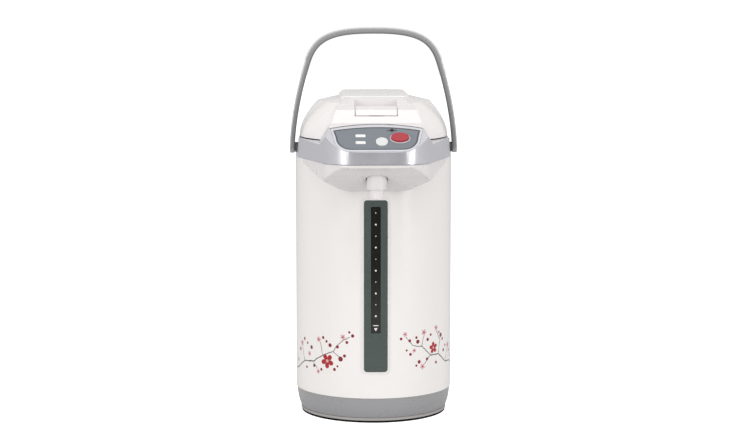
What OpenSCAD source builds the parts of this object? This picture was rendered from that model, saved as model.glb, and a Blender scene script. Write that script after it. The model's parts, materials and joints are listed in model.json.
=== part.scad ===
// Electric thermo pot: an insulated kettle with a motor pump, a spout over the front,
// a hinged lid, a carrying bail and a swivelling base. Front is -Y, up is +Z, and the
// origin is the centre of the rubber foot, on the table.

/* [Body] */
// Outside diameter of the outer body
body_d = 184; // [176:1:192]
// Height of the outer body between base skirt and collar
body_h = 274; // [262:1:280]
// Sheet thickness of the outer body
body_wall = 1.2; // [0.8:0.1:1.6]
// Depth that the skirt and the collar reach into the outer body
spigot_h = 8; // [5:1:12]

/* [Base] */
// Thickness of the rubber foot
foot_h = 2.6; // [2:0.1:4]
// How much smaller the foot's radius is than the body's
foot_inset = 6.6; // [5:0.2:10]
// Thickness of the turntable's plate
turntable_h = 3; // [2.5:0.1:5]
// How much smaller the turntable's radius is than the body's
turntable_inset = 5.8; // [4:0.2:9]
// Running gap between turntable and skirt
swivel_gap = 0.4; // [0.3:0.1:0.8]
// Radius of the turntable's pivot
swivel_r = 14; // [11:0.5:18]
// Height of the base skirt
skirt_h = 24; // [20:1:30]
// Wall of the base skirt
skirt_wall = 2.5; // [2:0.1:3]
// How much the skirt draws in at its bottom
skirt_taper = 4.6; // [3:0.2:7]
// Height of the chassis plate over the table
chassis_z = 62; // [58:1:66]
// Thickness of the chassis plate
chassis_t = 1.2; // [1:0.1:2]

/* [Inner container] */
// From the outer body's outside to the inner container's inside
cont_inset = 17; // [16.5:0.5:20]
// Sheet thickness of the inner container
cont_wall = 0.8; // [0.6:0.1:1]
// Height of the container's underside over the table
cont_z = 78; // [76:1:84]
// Height of the band heater
heater_h = 20; // [14:1:24]
// Thickness of the band heater
heater_t = 2.4; // [1.6:0.1:2.6]

/* [Collar and beak] */
// Height of the collar's ring
collar_h = 23; // [20:1:26]
// How much the collar's ring leans in at its top
collar_lean = 4.2; // [3:0.2:6]
// Wall of the collar and the beak
collar_wall = 2.6; // [2.2:0.1:3]
// Radius of the two corners of the beak's tip seen from above
beak_r = 40; // [34:1:44]
// Half width of the flat between the tip's corners
beak_flat = 22; // [16:1:26]
// Distance from the pot's axis to the beak's tip
beak_reach = 158; // [150:1:166]
// Rise of the collar's lower edge at the beak's tip
beak_rise = 4; // [2:0.5:6]
// Height of the beak's front face
beak_front_h = 14; // [12:0.5:17]
// Tilt of the control panel from level
panel_tilt = 36; // [32:1:40]
// Height of the housing's top over the collar's ring
housing_h = 23; // [21:0.5:24.5]
// Height of the housing's top corners over the collar's ring
housing_corner_h = 18; // [16:0.5:19]
// Half width of the housing at its foot
housing_w = 64; // [60:1:68]
// Half width of the housing at its top corners
housing_top_w = 53.5; // [52:0.5:56]
// Depth of the white cover below the beak
cover_drop = 32; // [28:1:34]
// Wall of the white cover
cover_wall = 2.2; // [1.8:0.1:2.6]
// Half width of the white cover's level foot
cover_foot_w = 36; // [32:0.5:40]

/* [Control panel] */
// Half width of the plate at its top corners
plate_w = 48.9; // [46:0.1:50]
// Half width of the plate's straight bottom edge
plate_foot_w = 29; // [26:0.5:32]
// Length of the plate's straight sides, measured up the slope to its corners
plate_l = 33.2; // [30:0.1:34]
// Crown of the plate's top edge
plate_crown = 5.6; // [3:0.2:6]
// Thickness of the plate
plate_t = 2; // [1.6:0.1:2.4]
// Width of the rim round the plate
rim_w = 2.6; // [2:0.1:3.2]
// Height of the rim over the plate
rim_proud = 0.7; // [0.4:0.1:1.2]
// Clearance round each button
button_gap = 0.3; // [0.25:0.05:0.5]
// Travel of the dispense button
dispense_travel = 2.5; // [1.5:0.1:3]
// Travel of the reboil button
reboil_travel = 1.2; // [0.8:0.1:1.6]

/* [Water gauge] */
// Width of the gauge frame
gauge_w = 27.2; // [24:0.2:32]
// Distance of the gauge frame's upper end below the collar
gauge_drop = 43; // [40:0.2:50]
// Height of the gauge frame's lower end over the table
gauge_z = 61.6; // [56:0.2:66]
// How far the gauge frame stands out of the body
gauge_proud = 2.2; // [1.6:0.1:3]
// Width of the window
window_w = 11.2; // [9:0.2:13]
// Width of the gauge frame above the window
window_down = 7.4; // [5:0.2:10]
// Height of the window's lower end over the gauge frame's
window_up = 45.4; // [42:0.2:48]
// Outside radius of the gauge tube
tube_r = 3.5; // [3:0.1:3.6]
// Wall of the gauge tube
tube_wall = 0.8; // [0.6:0.1:1]

/* [Spout] */
// Outside radius of the nozzle
nozzle_r = 7.3; // [6:0.1:7.6]
// Length of the nozzle below its boss
nozzle_l = 10.8; // [9:0.2:14]
// Distance from the pot's axis to the nozzle
nozzle_reach = 128; // [122:1:130]
// Outside radius of the nozzle's boss
boss_r = 11.3; // [10:0.1:12]
// Radius of the water passage
passage_r = 4; // [3:0.1:4.2]

/* [Lid] */
// Gap between lid and collar
lid_gap = 1.2; // [0.8:0.1:1.4]
// Gap between the housing's top and the lid's nose
deck_gap = 0.5; // [0.4:0.1:1]
// Height of the lid's shoulder over its lower edge
lid_shoulder_h = 41.4; // [39:0.1:44]
// Radius of the lid's shoulder
lid_shoulder_r = 66; // [62:0.5:70]
// Rise of the lid from its shoulder to the steam cap
lid_crown = 6; // [4:0.5:8]
// Wall of the lid
lid_wall = 2.5; // [2:0.1:3]
// Radius at which the lid's crown turns level
crown_r = 41; // [38:0.5:44]
// Distance from the pot's axis to the front of the lid's nose
nose_reach = 118; // [114:1:118]
// Distance from the nose's front to its crease
nose_crease = 10; // [8:0.5:12]
// Height of the crease over the lid's lower edge
nose_crease_h = 37.4; // [35:0.1:39]
// Rise of the nose's ridge over the lid's crown, at the steam cap
nose_rise = 1.8; // [1:0.1:2.4]
// Half width of the nose's ridge at the steam cap
ridge_w = 33; // [28:0.5:38]
// How much each side of the nose leans in up to its crease
nose_lean = 8; // [5:0.5:10]
// Width of the steam cap
cap_w = 81; // [76:1:84]
// Distance from the pot's axis to the front of the steam cap
cap_front = 66; // [62:1:70]
// Distance from the pot's axis to the back of the steam cap
cap_back = 42; // [38:1:46]
// Height of the steam cap over the lid's crown
cap_h = 5.8; // [4.5:0.1:7]
// Width of the lid's lever
lever_w = 46.6; // [40:0.2:48]
// Length of the lever from front to back
lever_l = 16.5; // [14:0.5:20]
// Height of the lever's front lip
lever_lip = 6; // [5:0.2:7]
// Clearance round the lever
lever_gap = 1.1; // [0.8:0.1:1.6]
// Length of the finger pocket behind the lever
pocket_l = 22.5; // [18:0.5:28]
// Travel of the finger below the lever's edge
pocket_deep = 12; // [10:0.5:13]
// Radius of the lid's hinge pin
hinge_pin_r = 2; // [1.6:0.1:2.4]

/* [Handle] */
// Gap between the body's outline and the handle's arms
handle_gap = 0.8; // [0.5:0.1:2]
// Height of the handle's top over its pivots
handle_h = 141; // [134:1:150]
// Thickness of the handle's arms
arm_t = 6.2; // [5.6:0.1:6.4]
// Thickness of the handle's grip
grip_t = 7.5; // [6.5:0.1:9]
// Width of the handle's strap from front to back
strap_w = 14; // [12:0.5:16]
// Step between the arms and the grip
grip_step = 0.7; // [0.4:0.1:1]
// Height of the pivots over the collar's lower edge
pivot_up = 10; // [9:0.5:12]
// Radius of the pivot pins
pivot_r = 4; // [3:0.1:4.5]

/* [Clearances] */
// Radial clearance of a shaft that turns in its bore
run_fit = 0.06; // [0.04:0.01:0.09]
// Clearance between seated pieces
seat_fit = 0.2; // [0.1:0.05:0.3]

/* [Hidden] */
$fn = 96;
EPS = 0.01;

body_r = body_d / 2;
cont_r = body_r - cont_inset;
turntable_z = foot_h;
skirt_z = turntable_z + turntable_h + swivel_gap;
body_z = skirt_z + skirt_h;
collar_z = body_z + body_h;
seam_z = collar_z + collar_h;
seam_r = body_r - collar_lean;
skirt_floor_t = 2.5;
cover_plate_t = 2.5;
cover_r = body_r - 14;
screw_r = 1.5;
screw_head_r = 3.1;
slack = 0.1;
floor_top = skirt_z + cover_plate_t + skirt_floor_t;

// Seats inside the collar for the container's flange and the mouth ring
ledge_t = 2.5;
ledge_z = seam_z - 5;
ledge_r = cont_r + cont_wall + 1.2;
bowl_r = seam_r - collar_wall + 1;
flange_r = bowl_r - 2;
mouth_top = seam_z - 0.6;

// The panel's own frame: origin at the slope's lower edge, Y up the slope, Z out of it
slope_y = -beak_reach;
slope_z = collar_z + beak_rise + beak_front_h;
plate_up = 3.9;
plate_lip = 0.3;
seat_depth = plate_t - plate_lip;
function on_slope(v) = [0, slope_y + v * cos(panel_tilt), slope_z + v * sin(panel_tilt)];

// Buttons and lamps on the panel, from its centre line and up the slope
dispense_at = [25.7, 23.7];
dispense_size = [20, 14.2];
ring_w = 1.3;
reboil_at = [5.2, 17.2];
reboil_r = 6.9;
lamp_at = [[-18.5, 27.7], [-18.5, 16.2]];
lamp_size = [11.3, 4.5];
slider_at = [16.9, 36.7];
slider_r = 1.7;
slider_travel = 4;
stem_size = [3, 0.9];
stem_gap = 0.2;
flap_size = [9.4, 5.4, 1.5];
board_depth = 11;
board_t = 1.6;
board_size = [74, 25];
board_foot = 2.5;
switch_h = 2.6;
flange_t = 1.2;
flange_w = 1;
opening_w = 78;
opening_from = 8;
opening_to = 34.5;

// Gauge and spout
gauge_y = -body_r + 8;
gauge_l = collar_z - gauge_drop - gauge_z;
window_z = gauge_z + window_up;
window_l = gauge_l - window_up - window_down;
tube_sleeve = 8;
tube_z = window_z - 21;
tube_top = collar_z - 18;
valve_z = tube_top - 4;
valve_r = 7.8;
valve_h = 20;
pipe_z = collar_z - 8;
boss_drop = 26;
boss_bottom = collar_z - boss_drop;
boss_gap = 0.9;
nozzle_seat = 6.2;
pipe_wall = 2.2;
pipe_r = passage_r + pipe_wall;
ball_r = 3.6;
bore_r = tube_r - tube_wall;
seat_z = tube_top + 1.4;
seat_h = 3;

// Pump under the container
pump_y = -46;
pump_r = 21;
pump_wall = 2.5;
motor_r = 14;
motor_z = floor_top;
motor_h = 21;
pump_z = motor_z + motor_h;
pump_h = 22;
pump_floor = pump_z + 7.5;
pump_top = pump_z + pump_h;
pump_cover_t = 2.5;
port_r = 7;
port_l = 9;
port_wall = 1.5;
outlet_r = 4.6;
outlet_z = pump_floor + 7;
shaft_r = 1.5;

// Handle and lid
pivot_z = collar_z + pivot_up;
arm_in = body_r + handle_gap;
handle_w = arm_in + arm_t;
hinge_y = body_r + 1;
hinge_z = seam_z + 5;
lid_z = seam_z + lid_gap;
lid_r = seam_r - 0.4;
shoulder_z = lid_z + lid_shoulder_h;
crown_z = shoulder_z + lid_crown;
ridge_z = crown_z + nose_rise;
ridge_l = 12;
inner_t = 2;
steam_r = 7;
steam_wall = 2;
steam_gap = 3;
steam_flange = 7;
steam_flange_t = 1.6;
inner_z = lid_z + 2;
crease_y = -nose_reach + nose_crease;
crease_z = lid_z + nose_crease_h;
lever_back = -nose_reach + 6 + lever_l;
lever_foot = crease_z - lever_lip;
pocket_floor = crease_z - pocket_deep;
lever_pin_r = 1.1;
lever_pin_y = crease_y - 1.6;
lever_pin_z = lever_foot + 1.5;
hook_y = crease_y + 2;
hook_t = 3;
hook_w = 16;
hook_z = seam_z + housing_h + 1;

// Cubic Bezier curve through four points, and its direction
function bez(a, b, c, d, t) =
    a * pow(1 - t, 3) + b * 3 * t * pow(1 - t, 2) + c * 3 * t * t * (1 - t) + d * pow(t, 3);
function bez_dir(a, b, c, d, t) =
    (b - a) * pow(1 - t, 2) + (c - b) * 2 * t * (1 - t) + (d - c) * t * t;
function unit(v) = v / norm(v);
function arc(c, r, from, to, n) = [for (i = [0:n]) let (a = from + (to - from) * i / n)
    [c[0] + r[0] * cos(a), c[1] + r[1] * sin(a)]];
function flip(pts) = [for (i = [len(pts) - 1:-1:0]) [-pts[i][0], pts[i][1]]];

module ring(r_out, r_in, h) {
    difference() {
        cylinder(r = r_out, h = h);
        translate([0, 0, -EPS]) cylinder(r = r_in, h = h + 2 * EPS);
    }
}

module ring_of(n, r, start = 45) {
    for (i = [0:n - 1]) rotate([0, 0, start + i * 360 / n]) translate([r, 0, 0]) children();
}

module rounded_box(w, l, h, r) {
    linear_extrude(height = h) rounded_rect(w, l, r);
}

module rounded_rect(w, l, r) {
    square([w - 2 * r, l], center = true);
    square([w, l - 2 * r], center = true);
    for (x = [-1, 1], y = [-1, 1]) translate([x * (w / 2 - r), y * (l / 2 - r)]) circle(r = r);
}

// A flat shape stood upright in front of the body, facing -Y
module upright(z0, depth) {
    translate([0, 0, z0]) rotate([90, 0, 0]) linear_extrude(height = depth) children();
}

// ---- Base ----

base_screw_at = cover_r - 5;
post_at = body_r - 13;
post_r = 5;
groove_at = [52, 60, 68];
groove_w = 2;
groove_d = 0.6;
swivel_wall = 3;

module foot_pad() {
    foot_r = body_r - foot_inset;
    color("#1b1b1c") difference() {
        cylinder(r = foot_r, h = foot_h);
        for (r = groove_at) translate([0, 0, -EPS]) ring(r + groove_w, r, groove_d);
    }
}

module turntable() {
    color("#6f6f71") translate([0, 0, turntable_z]) difference() {
        union() {
            cylinder(r = body_r - turntable_inset, h = turntable_h);
            cylinder(r = swivel_r, h = turntable_h + swivel_gap + cover_plate_t + skirt_floor_t);
        }
        translate([0, 0, turntable_h]) cylinder(r = swivel_r - swivel_wall, h = 2 * skirt_h);
    }
}

glide_r = 60;
glide_w = 6;
module glide_ring() {
    color("#e8e6df") translate([0, 0, turntable_z + turntable_h])
        ring(glide_r + glide_w, glide_r, swivel_gap - slack);
}

washer_r = swivel_r + 5;
washer_t = 1;
washer_bore = 2;
washer_plug = 5;
module swivel_washer() {
    washer_z = turntable_z + turntable_h + swivel_gap + cover_plate_t + skirt_floor_t;
    color("#b9bbbe") translate([0, 0, washer_z]) {
        ring(washer_r, washer_bore, washer_t);
        translate([0, 0, -washer_plug])
            ring(swivel_r - swivel_wall - seat_fit, washer_bore, washer_plug + EPS);
    }
}

module skirt_profile(inset) {
    top_r = body_r - 1 - inset;
    low_r = top_r - skirt_taper + 0.8;
    polygon(concat([[0, skirt_z + inset]],
        [for (t = [0:0.125:1]) bez([low_r - 1.2, skirt_z + inset], [low_r + 1.2, skirt_z + inset + 5],
            [top_r - 0.4, body_z - 12], [top_r, body_z], t)],
        [[0, body_z]]));
}

module base_skirt() {
    spigot_r = body_r - body_wall - seat_fit;
    color("#97979a") difference() {
        union() {
            rotate_extrude() skirt_profile(0);
            translate([0, 0, body_z - skirt_wall]) cylinder(r = spigot_r, h = spigot_h + skirt_wall);
        }
        difference() {
            translate([0, 0, floor_top])
                cylinder(r = body_r - skirt_wall - skirt_taper - 1, h = skirt_h + spigot_h);
            ring_of(4, post_at) cylinder(r = post_r, h = chassis_z);
            ring_of(4, base_screw_at, 0) cylinder(r = screw_r + skirt_wall, h = floor_top + spigot_h);
            translate([0, pump_y, 0]) cylinder(r = motor_r + skirt_wall, h = motor_z + motor_seat);
        }
        translate([0, 0, skirt_z - EPS]) cylinder(r = cover_r + seat_fit, h = cover_plate_t + EPS);
        translate([0, 0, skirt_z]) cylinder(r = hub_r, h = skirt_h);
        translate([0, pump_y, motor_z]) cylinder(r = motor_r + seat_fit, h = skirt_h);
        ring_of(4, base_screw_at, 0) translate([0, 0, skirt_z]) cylinder(r = screw_r, h = screw_l + 2);
    }
    color("#97979a") ring_of(4, post_at) translate([0, 0, body_z])
        cylinder(r = post_r, h = chassis_z - body_z);
}

hub_r = swivel_r + swivel_wall;
head_t = 1.2;
screw_l = 12;
motor_seat = 8;
module bottom_cover() {
    color("#8b8b8e") translate([0, 0, skirt_z]) difference() {
        union() {
            cylinder(r = cover_r, h = cover_plate_t);
            cylinder(r = hub_r - seat_fit, h = cover_plate_t + skirt_floor_t - slack);
        }
        translate([0, 0, -EPS]) cylinder(r = swivel_r + run_fit, h = skirt_h);
        ring_of(4, base_screw_at, 0) {
            translate([0, 0, -EPS]) cylinder(r = screw_r + seat_fit, h = skirt_h);
            translate([0, 0, -EPS]) cylinder(r = screw_head_r + 0.3, h = head_t + seat_fit + EPS);
        }
    }
}

module base_screws() {
    color("#a9abad") ring_of(4, base_screw_at, 0) translate([0, 0, skirt_z]) {
        translate([0, 0, seat_fit]) cylinder(r = screw_head_r, h = head_t);
        translate([0, 0, head_t]) cylinder(r = screw_r, h = screw_l - head_t);
    }
}

// ---- Outer body and container ----

gauge_cut_w = gauge_w - 5;
gauge_cut_l = gauge_l - 8;
spout_cut_w = 40;
spout_cut_h = 22;
inlet_w = 44;
inlet_h = 24;
inlet_z = body_z + spigot_h - 3;

module outer_body() {
    color("#efebe8") translate([0, 0, body_z]) difference() {
        ring(body_r, body_r - body_wall, body_h);
        translate([0, -body_r, gauge_z - body_z + gauge_l / 2])
            cube([gauge_cut_w, 30, gauge_cut_l], center = true);
        translate([-spout_cut_w / 2, -body_r - 5, body_h - spout_cut_h])
            cube([spout_cut_w, 30, spout_cut_h + 1]);
        translate([-inlet_w / 2 + 3, body_r - 15, inlet_z - body_z + 3])
            cube([inlet_w - 6, 30, inlet_h - 6]);
    }
}

module chassis_plate() {
    color("#b4b6b9") translate([0, 0, chassis_z]) difference() {
        cylinder(r = body_r - body_wall - 2, h = chassis_t);
        translate([0, pump_y, -EPS]) cylinder(r = port_r + 4, h = chassis_t + 1);
        translate([0, gauge_y - 4, -EPS]) cube([16, 26, 10], center = true);
        ring_of(8, 56, 0) translate([0, 0, -EPS]) cylinder(r = 5, h = chassis_t + 1);
    }
}

module inner_container() {
    color("#c4c6c8") difference() {
        union() {
            translate([0, 0, cont_z]) cylinder(r = cont_r + cont_wall, h = ledge_z + 1 - cont_z);
            translate([0, 0, ledge_z]) cylinder(r = flange_r, h = 1);
            translate([0, pump_y, cont_z - port_l + 1]) cylinder(r = port_r, h = port_l);
        }
        translate([0, 0, cont_z + cont_wall]) cylinder(r = cont_r, h = 400);
        translate([0, pump_y, cont_z - port_l]) cylinder(r = port_r - 1, h = 2 * port_l);
    }
}

module band_heater() {
    heater_r = cont_r + cont_wall + 0.05;
    color("#8a7f6c") translate([0, 0, cont_z + 4]) {
        ring(heater_r + heater_t, heater_r, heater_h);
        for (x = [-8, 8]) translate([x - 2, heater_r + heater_t - 0.4, heater_h / 2 - 3])
            cube([4, 5, 6]);
    }
}

thermostat_y = 18;
thermostat_r = 11;
thermostat_h = 8;
thermostat_cap_r = 7;
thermostat_cap_h = 3;
module thermostat() {
    color("#cfc9b8") translate([0, thermostat_y, cont_z - thermostat_h]) {
        cylinder(r = thermostat_r, h = thermostat_h);
        translate([0, 0, -thermostat_cap_h]) cylinder(r = thermostat_cap_r, h = thermostat_cap_h);
    }
}

fuse_r = 3.2;
fuse_l = 18;
fuse_lead_l = 34;
fuse_lead_r = 0.8;
fuse_at = [-25, 6];
module thermal_fuse() {
    color("#d8d3c4") translate([fuse_at[0], fuse_at[1], cont_z - fuse_r]) rotate([0, 90, 0]) {
        cylinder(r = fuse_r, h = fuse_l, center = true);
        cylinder(r = fuse_lead_r, h = fuse_lead_l, center = true);
    }
}

power_board_size = [76, 40, 1.6];
power_board_y = 42;
board_post_h = 7;
board_post_r = 3;
transformer_size = [26, 22, 20];
transformer_x = -15;
capacitor_r = 5;
capacitor_h = 14;
capacitor_at = [8, 20];
module power_board() {
    top_z = board_post_h + power_board_size[2];
    post = [power_board_size[0] / 2 - board_post_r - 1, power_board_size[1] / 2 - board_post_r - 1];
    color("#2f6b45") translate([0, power_board_y, floor_top]) {
        for (x = [-1, 1], y = [-1, 1]) translate([x * post[0], y * post[1], 0])
            cylinder(r = board_post_r, h = board_post_h);
        translate([-power_board_size[0] / 2, -power_board_size[1] / 2, board_post_h]) cube(power_board_size);
        translate([transformer_x, 0, top_z]) translate([-transformer_size[0] / 2, -transformer_size[1] / 2, 0])
            cube(transformer_size);
        for (x = capacitor_at) translate([x, -2, top_z]) cylinder(r = capacitor_r, h = capacitor_h);
    }
}

module power_inlet() {
    face = body_r + 3;
    color("#2a2a2c") difference() {
        union() {
            intersection() {
                translate([0, 0, inlet_z + inlet_h / 2]) rotate([-90, 0, 0])
                    rounded_box(inlet_w, inlet_h, face + 2, 5);
                ring_cut(body_r + 0.05, face + 2);
            }
            translate([0, body_r - 12, inlet_z + inlet_h / 2]) rotate([-90, 0, 0])
                rounded_box(inlet_w - 7, inlet_h - 7, 14, 3);
        }
        translate([0, body_r - 9, inlet_z + inlet_h / 2]) rotate([-90, 0, 0])
            rounded_box(inlet_w - 14, inlet_h - 11, 30, 3);
    }
}

module ring_cut(r_in, y_max) {
    difference() {
        translate([-100, 0, 0]) cube([200, y_max, 400]);
        cylinder(r = r_in, h = 400);
    }
}

module inlet_pins() {
    color("#c9b06a") for (x = [-7, 7])
        translate([x, body_r - 9, inlet_z + inlet_h / 2]) rotate([-90, 0, 0]) cylinder(r = 2, h = 9);
}

// ---- Pump ----

module pump_motor() {
    color("#9fa1a4") translate([0, pump_y, motor_z]) difference() {
        union() {
            cylinder(r = motor_r, h = motor_h - 1.5);
            translate([0, 0, motor_h - 1.5]) cylinder(r = pump_r, h = 1.5);
        }
        translate([0, 0, 4]) cylinder(r = shaft_r + run_fit, h = motor_h);
    }
}

module drive_magnet() {
    color("#46464a") translate([0, pump_y, motor_z]) {
        translate([0, 0, 5]) cylinder(r = shaft_r, h = motor_h - 3);
        translate([0, 0, motor_h + 1]) cylinder(r = 12, h = 4.5);
    }
}

module pump_housing() {
    color("#e4e1d8") translate([0, pump_y, 0]) difference() {
        union() {
            translate([0, 0, pump_z]) cylinder(r = pump_r, h = pump_h);
            translate([0, -pump_r + 1.2, outlet_z]) rotate([90, 0, 0])
                cylinder(r = outlet_r, h = -gauge_y + pump_y - pump_r - 3.2);
        }
        translate([0, 0, pump_z - EPS]) cylinder(r = pump_r - pump_wall, h = 6);
        translate([0, 0, pump_floor]) cylinder(r = pump_r - pump_wall, h = pump_h);
        translate([0, -pump_r + 4, outlet_z]) rotate([90, 0, 0]) cylinder(r = outlet_r - 1.4, h = 40);
    }
    color("#e4e1d8") translate([0, pump_y, pump_floor - EPS]) cylinder(r = shaft_r, h = 11);
}

module pump_cover() {
    color("#e4e1d8") translate([0, pump_y, pump_top]) difference() {
        union() {
            cylinder(r = pump_r, h = pump_cover_t);
            cylinder(r = port_r, h = pump_cover_t + port_l);
        }
        translate([0, 0, -EPS]) cylinder(r = port_r - port_wall, h = 2 * port_l + pump_cover_t);
    }
}

module impeller() {
    color("#3c62a0") translate([0, pump_y, pump_floor + 1]) difference() {
        union() {
            cylinder(r = 12, h = 4);
            cylinder(r = 4, h = 9);
            for (i = [0:5]) rotate([0, 0, 60 * i]) translate([3, -0.8, 3]) cube([12, 1.6, 6]);
        }
        translate([0, 0, -EPS]) cylinder(r = shaft_r + run_fit, h = 20);
    }
}

hose_wall = 2.2;
module suction_hose() {
    hose_z = pump_top + pump_cover_t + 1;
    color("#d9d6cc") translate([0, pump_y, hose_z])
        ring(port_r + hose_wall, port_r + 0.05, cont_z - 1 - hose_z);
}

module riser_elbow() {
    bend_z = outlet_z;
    sleeve_r = 5.2;
    color("#d9d6cc") difference() {
        union() {
            translate([0, gauge_y, bend_z]) cylinder(r = sleeve_r, h = tube_z + tube_sleeve - bend_z);
            translate([0, gauge_y, bend_z]) sphere(r = sleeve_r);
            translate([0, gauge_y, bend_z]) rotate([-90, 0, 0])
                cylinder(r = sleeve_r, h = -gauge_y + pump_y - pump_r - 1);
            translate([0, gauge_y + 3, bend_z]) rotate([-90, 0, 0])
                cylinder(r = outlet_r + 1.5, h = -gauge_y + pump_y - pump_r - 4);
        }
        translate([0, gauge_y, bend_z]) cylinder(r = tube_r - tube_wall, h = 200);
        translate([0, gauge_y, tube_z]) cylinder(r = tube_r + 0.05, h = 100);
        translate([0, gauge_y, bend_z]) rotate([-90, 0, 0]) cylinder(r = tube_r - tube_wall, h = 10);
        translate([0, gauge_y + 4, bend_z]) rotate([-90, 0, 0]) cylinder(r = outlet_r + 0.05, h = 40);
    }
}

// ---- Water gauge ----

module gauge_tube() {
    color("#dfe9ea") translate([0, gauge_y, tube_z]) ring(tube_r, tube_r - tube_wall, tube_top - tube_z);
}

back_margin = 3;
back_wall = 0.8;
module gauge_backing() {
    back_z = window_z - back_margin;
    back_l = window_l + 2 * back_margin;
    back_w = window_w + 2 * back_margin - 1;
    back_y = gauge_y + tube_r + 2 * back_wall;
    front_y = -body_r + back_margin + 0.6;
    color("#1d1d1b") translate([-back_w / 2, front_y, back_z]) difference() {
        cube([back_w, back_y - front_y, back_l]);
        translate([back_wall, -EPS, back_wall])
            cube([back_w - 2 * back_wall, back_y - front_y - back_wall, back_l - 2 * back_wall]);
        translate([back_w / 2, gauge_y - front_y, -EPS]) cylinder(r = tube_r + 0.1, h = 300);
    }
}

module gauge_plate(grow, r_in, r_out) {
    intersection() {
        upright(gauge_z + gauge_l / 2, body_r + 20)
            rounded_rect(gauge_w + 2 * grow, gauge_l + 2 * grow, 3.4 + grow);
        translate([0, 0, gauge_z - 10]) ring(r_out, r_in, gauge_l + 20);
    }
}

module window_prism(grow) {
    upright(window_z + window_l / 2, body_r + 20)
        rounded_rect(window_w + 2 * grow, window_l + 2 * grow, 1.2);
}

module gauge_frame() {
    color("#46504f") difference() {
        union() {
            gauge_plate(0, body_r + 0.1, body_r + gauge_proud);
            intersection() {
                upright(gauge_z + gauge_l / 2, body_r + 20)
                    rounded_rect(gauge_cut_w - 0.6, gauge_cut_l - 0.6, 1.5);
                translate([0, 0, gauge_z]) ring(body_r + 0.5, body_r - 2.4, gauge_l);
            }
        }
        window_prism(0);
        intersection() {
            window_prism(1);
            translate([0, 0, gauge_z]) ring(body_r + gauge_proud - 0.6, body_r - 0.6, gauge_l);
        }
    }
}

module gauge_rim() {
    color("#f1eeec") difference() {
        gauge_plate(2, body_r + 0.05, body_r + gauge_proud - 0.8);
        upright(gauge_z + gauge_l / 2, body_r + 20)
            rounded_rect(gauge_w + 0.1, gauge_l + 0.1, 3.4);
    }
}

module gauge_window() {
    color("#30302c") intersection() {
        window_prism(0.8);
        translate([0, 0, gauge_z]) ring(body_r + gauge_proud - 0.8, body_r - 0.4, gauge_l);
    }
}

// ---- Valve and spout ----

module valve_housing() {
    color("#e4e1d8") difference() {
        union() {
            translate([0, gauge_y, valve_z]) cylinder(r = valve_r, h = valve_h);
            translate([0, gauge_y - valve_r + 1.5, pipe_z]) rotate([90, 0, 0])
                cylinder(r = passage_r + 1, h = 6);
        }
        translate([0, gauge_y, valve_z - EPS]) cylinder(r = tube_r + 0.05, h = tube_top - valve_z + EPS);
        translate([0, gauge_y, valve_z]) cylinder(r = tube_r - tube_wall, h = 10);
        translate([0, gauge_y, seat_z]) cylinder(r1 = bore_r, r2 = ball_r + 1, h = seat_h);
        translate([0, gauge_y, seat_z + seat_h - EPS]) cylinder(r = ball_r + 1, h = valve_h - 10.8);
        translate([0, gauge_y, pipe_z]) rotate([90, 0, 0]) cylinder(r = passage_r - 1, h = 20);
    }
}

module valve_ball() {
    seat_a = atan((ball_r + 1 - bore_r) / seat_h);
    ball_z = seat_z - bore_r / tan(seat_a) + (ball_r + 0.03) / sin(seat_a);
    color("#c7c9cc") translate([0, gauge_y, ball_z]) sphere(r = ball_r);
}

module spout_pipe() {
    joint_y = gauge_y - valve_r - 0.5;
    color("#d9d6cc") difference() {
        union() {
            translate([0, joint_y, pipe_z]) rotate([90, 0, 0])
                cylinder(r = pipe_r, h = nozzle_reach + joint_y);
            translate([0, -nozzle_reach, pipe_z]) sphere(r = pipe_r);
            translate([0, -nozzle_reach, boss_bottom + nozzle_seat])
                cylinder(r = pipe_r, h = pipe_z - boss_bottom - nozzle_seat);
        }
        translate([0, joint_y + EPS, pipe_z]) rotate([90, 0, 0]) cylinder(r = passage_r + 1.05, h = 5);
        translate([0, joint_y, pipe_z]) rotate([90, 0, 0]) cylinder(r = passage_r, h = nozzle_reach + joint_y);
        translate([0, -nozzle_reach, boss_bottom]) cylinder(r = passage_r, h = pipe_z - boss_bottom);
    }
}

module nozzle_boss() {
    boss_top = pipe_z + 3;
    color("#e2dedd") translate([0, -nozzle_reach, boss_bottom]) difference() {
        cylinder(r = boss_r, h = boss_top - boss_bottom);
        translate([0, 0, 1.2]) cylinder(r = boss_r - 1.8, h = 60);
        translate([0, 0, -EPS]) cylinder(r = nozzle_r + 0.1, h = 60);
        // notch for the pipe
        translate([-passage_r - 2.5, 0, pipe_z - passage_r - 2.5 - boss_bottom])
            cube([2 * passage_r + 5, 30, 30]);
    }
}

module nozzle() {
    color("#efe9e9") translate([0, -nozzle_reach, boss_bottom]) difference() {
        union() {
            translate([0, 0, -nozzle_l]) cylinder(r = nozzle_r, h = nozzle_l + 2);
            translate([0, 0, 1.4]) cylinder(r = boss_r - 2, h = nozzle_seat - 1.6);
        }
        translate([0, 0, -nozzle_l - EPS]) cylinder(r1 = nozzle_r - 1.2, r2 = passage_r, h = 5);
        translate([0, 0, -nozzle_l]) cylinder(r = passage_r, h = 60);
    }
}

// ---- Collar, beak and white cover ----

// The beak seen from above: tangents from the body's circle to the tip's two corners
module beak_plan(inset) {
    big = body_r - 0.3 - inset;
    tip = beak_r - inset;
    centre = [beak_flat, -(beak_reach - beak_r)];
    lean = atan2(centre[1], centre[0]) + acos((big - tip) / norm(centre));
    side = [cos(lean), sin(lean)];
    half = concat([big * side], arc(centre, [tip, tip], lean, -90, 10));
    polygon(concat(half, flip(half)));
}

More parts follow.
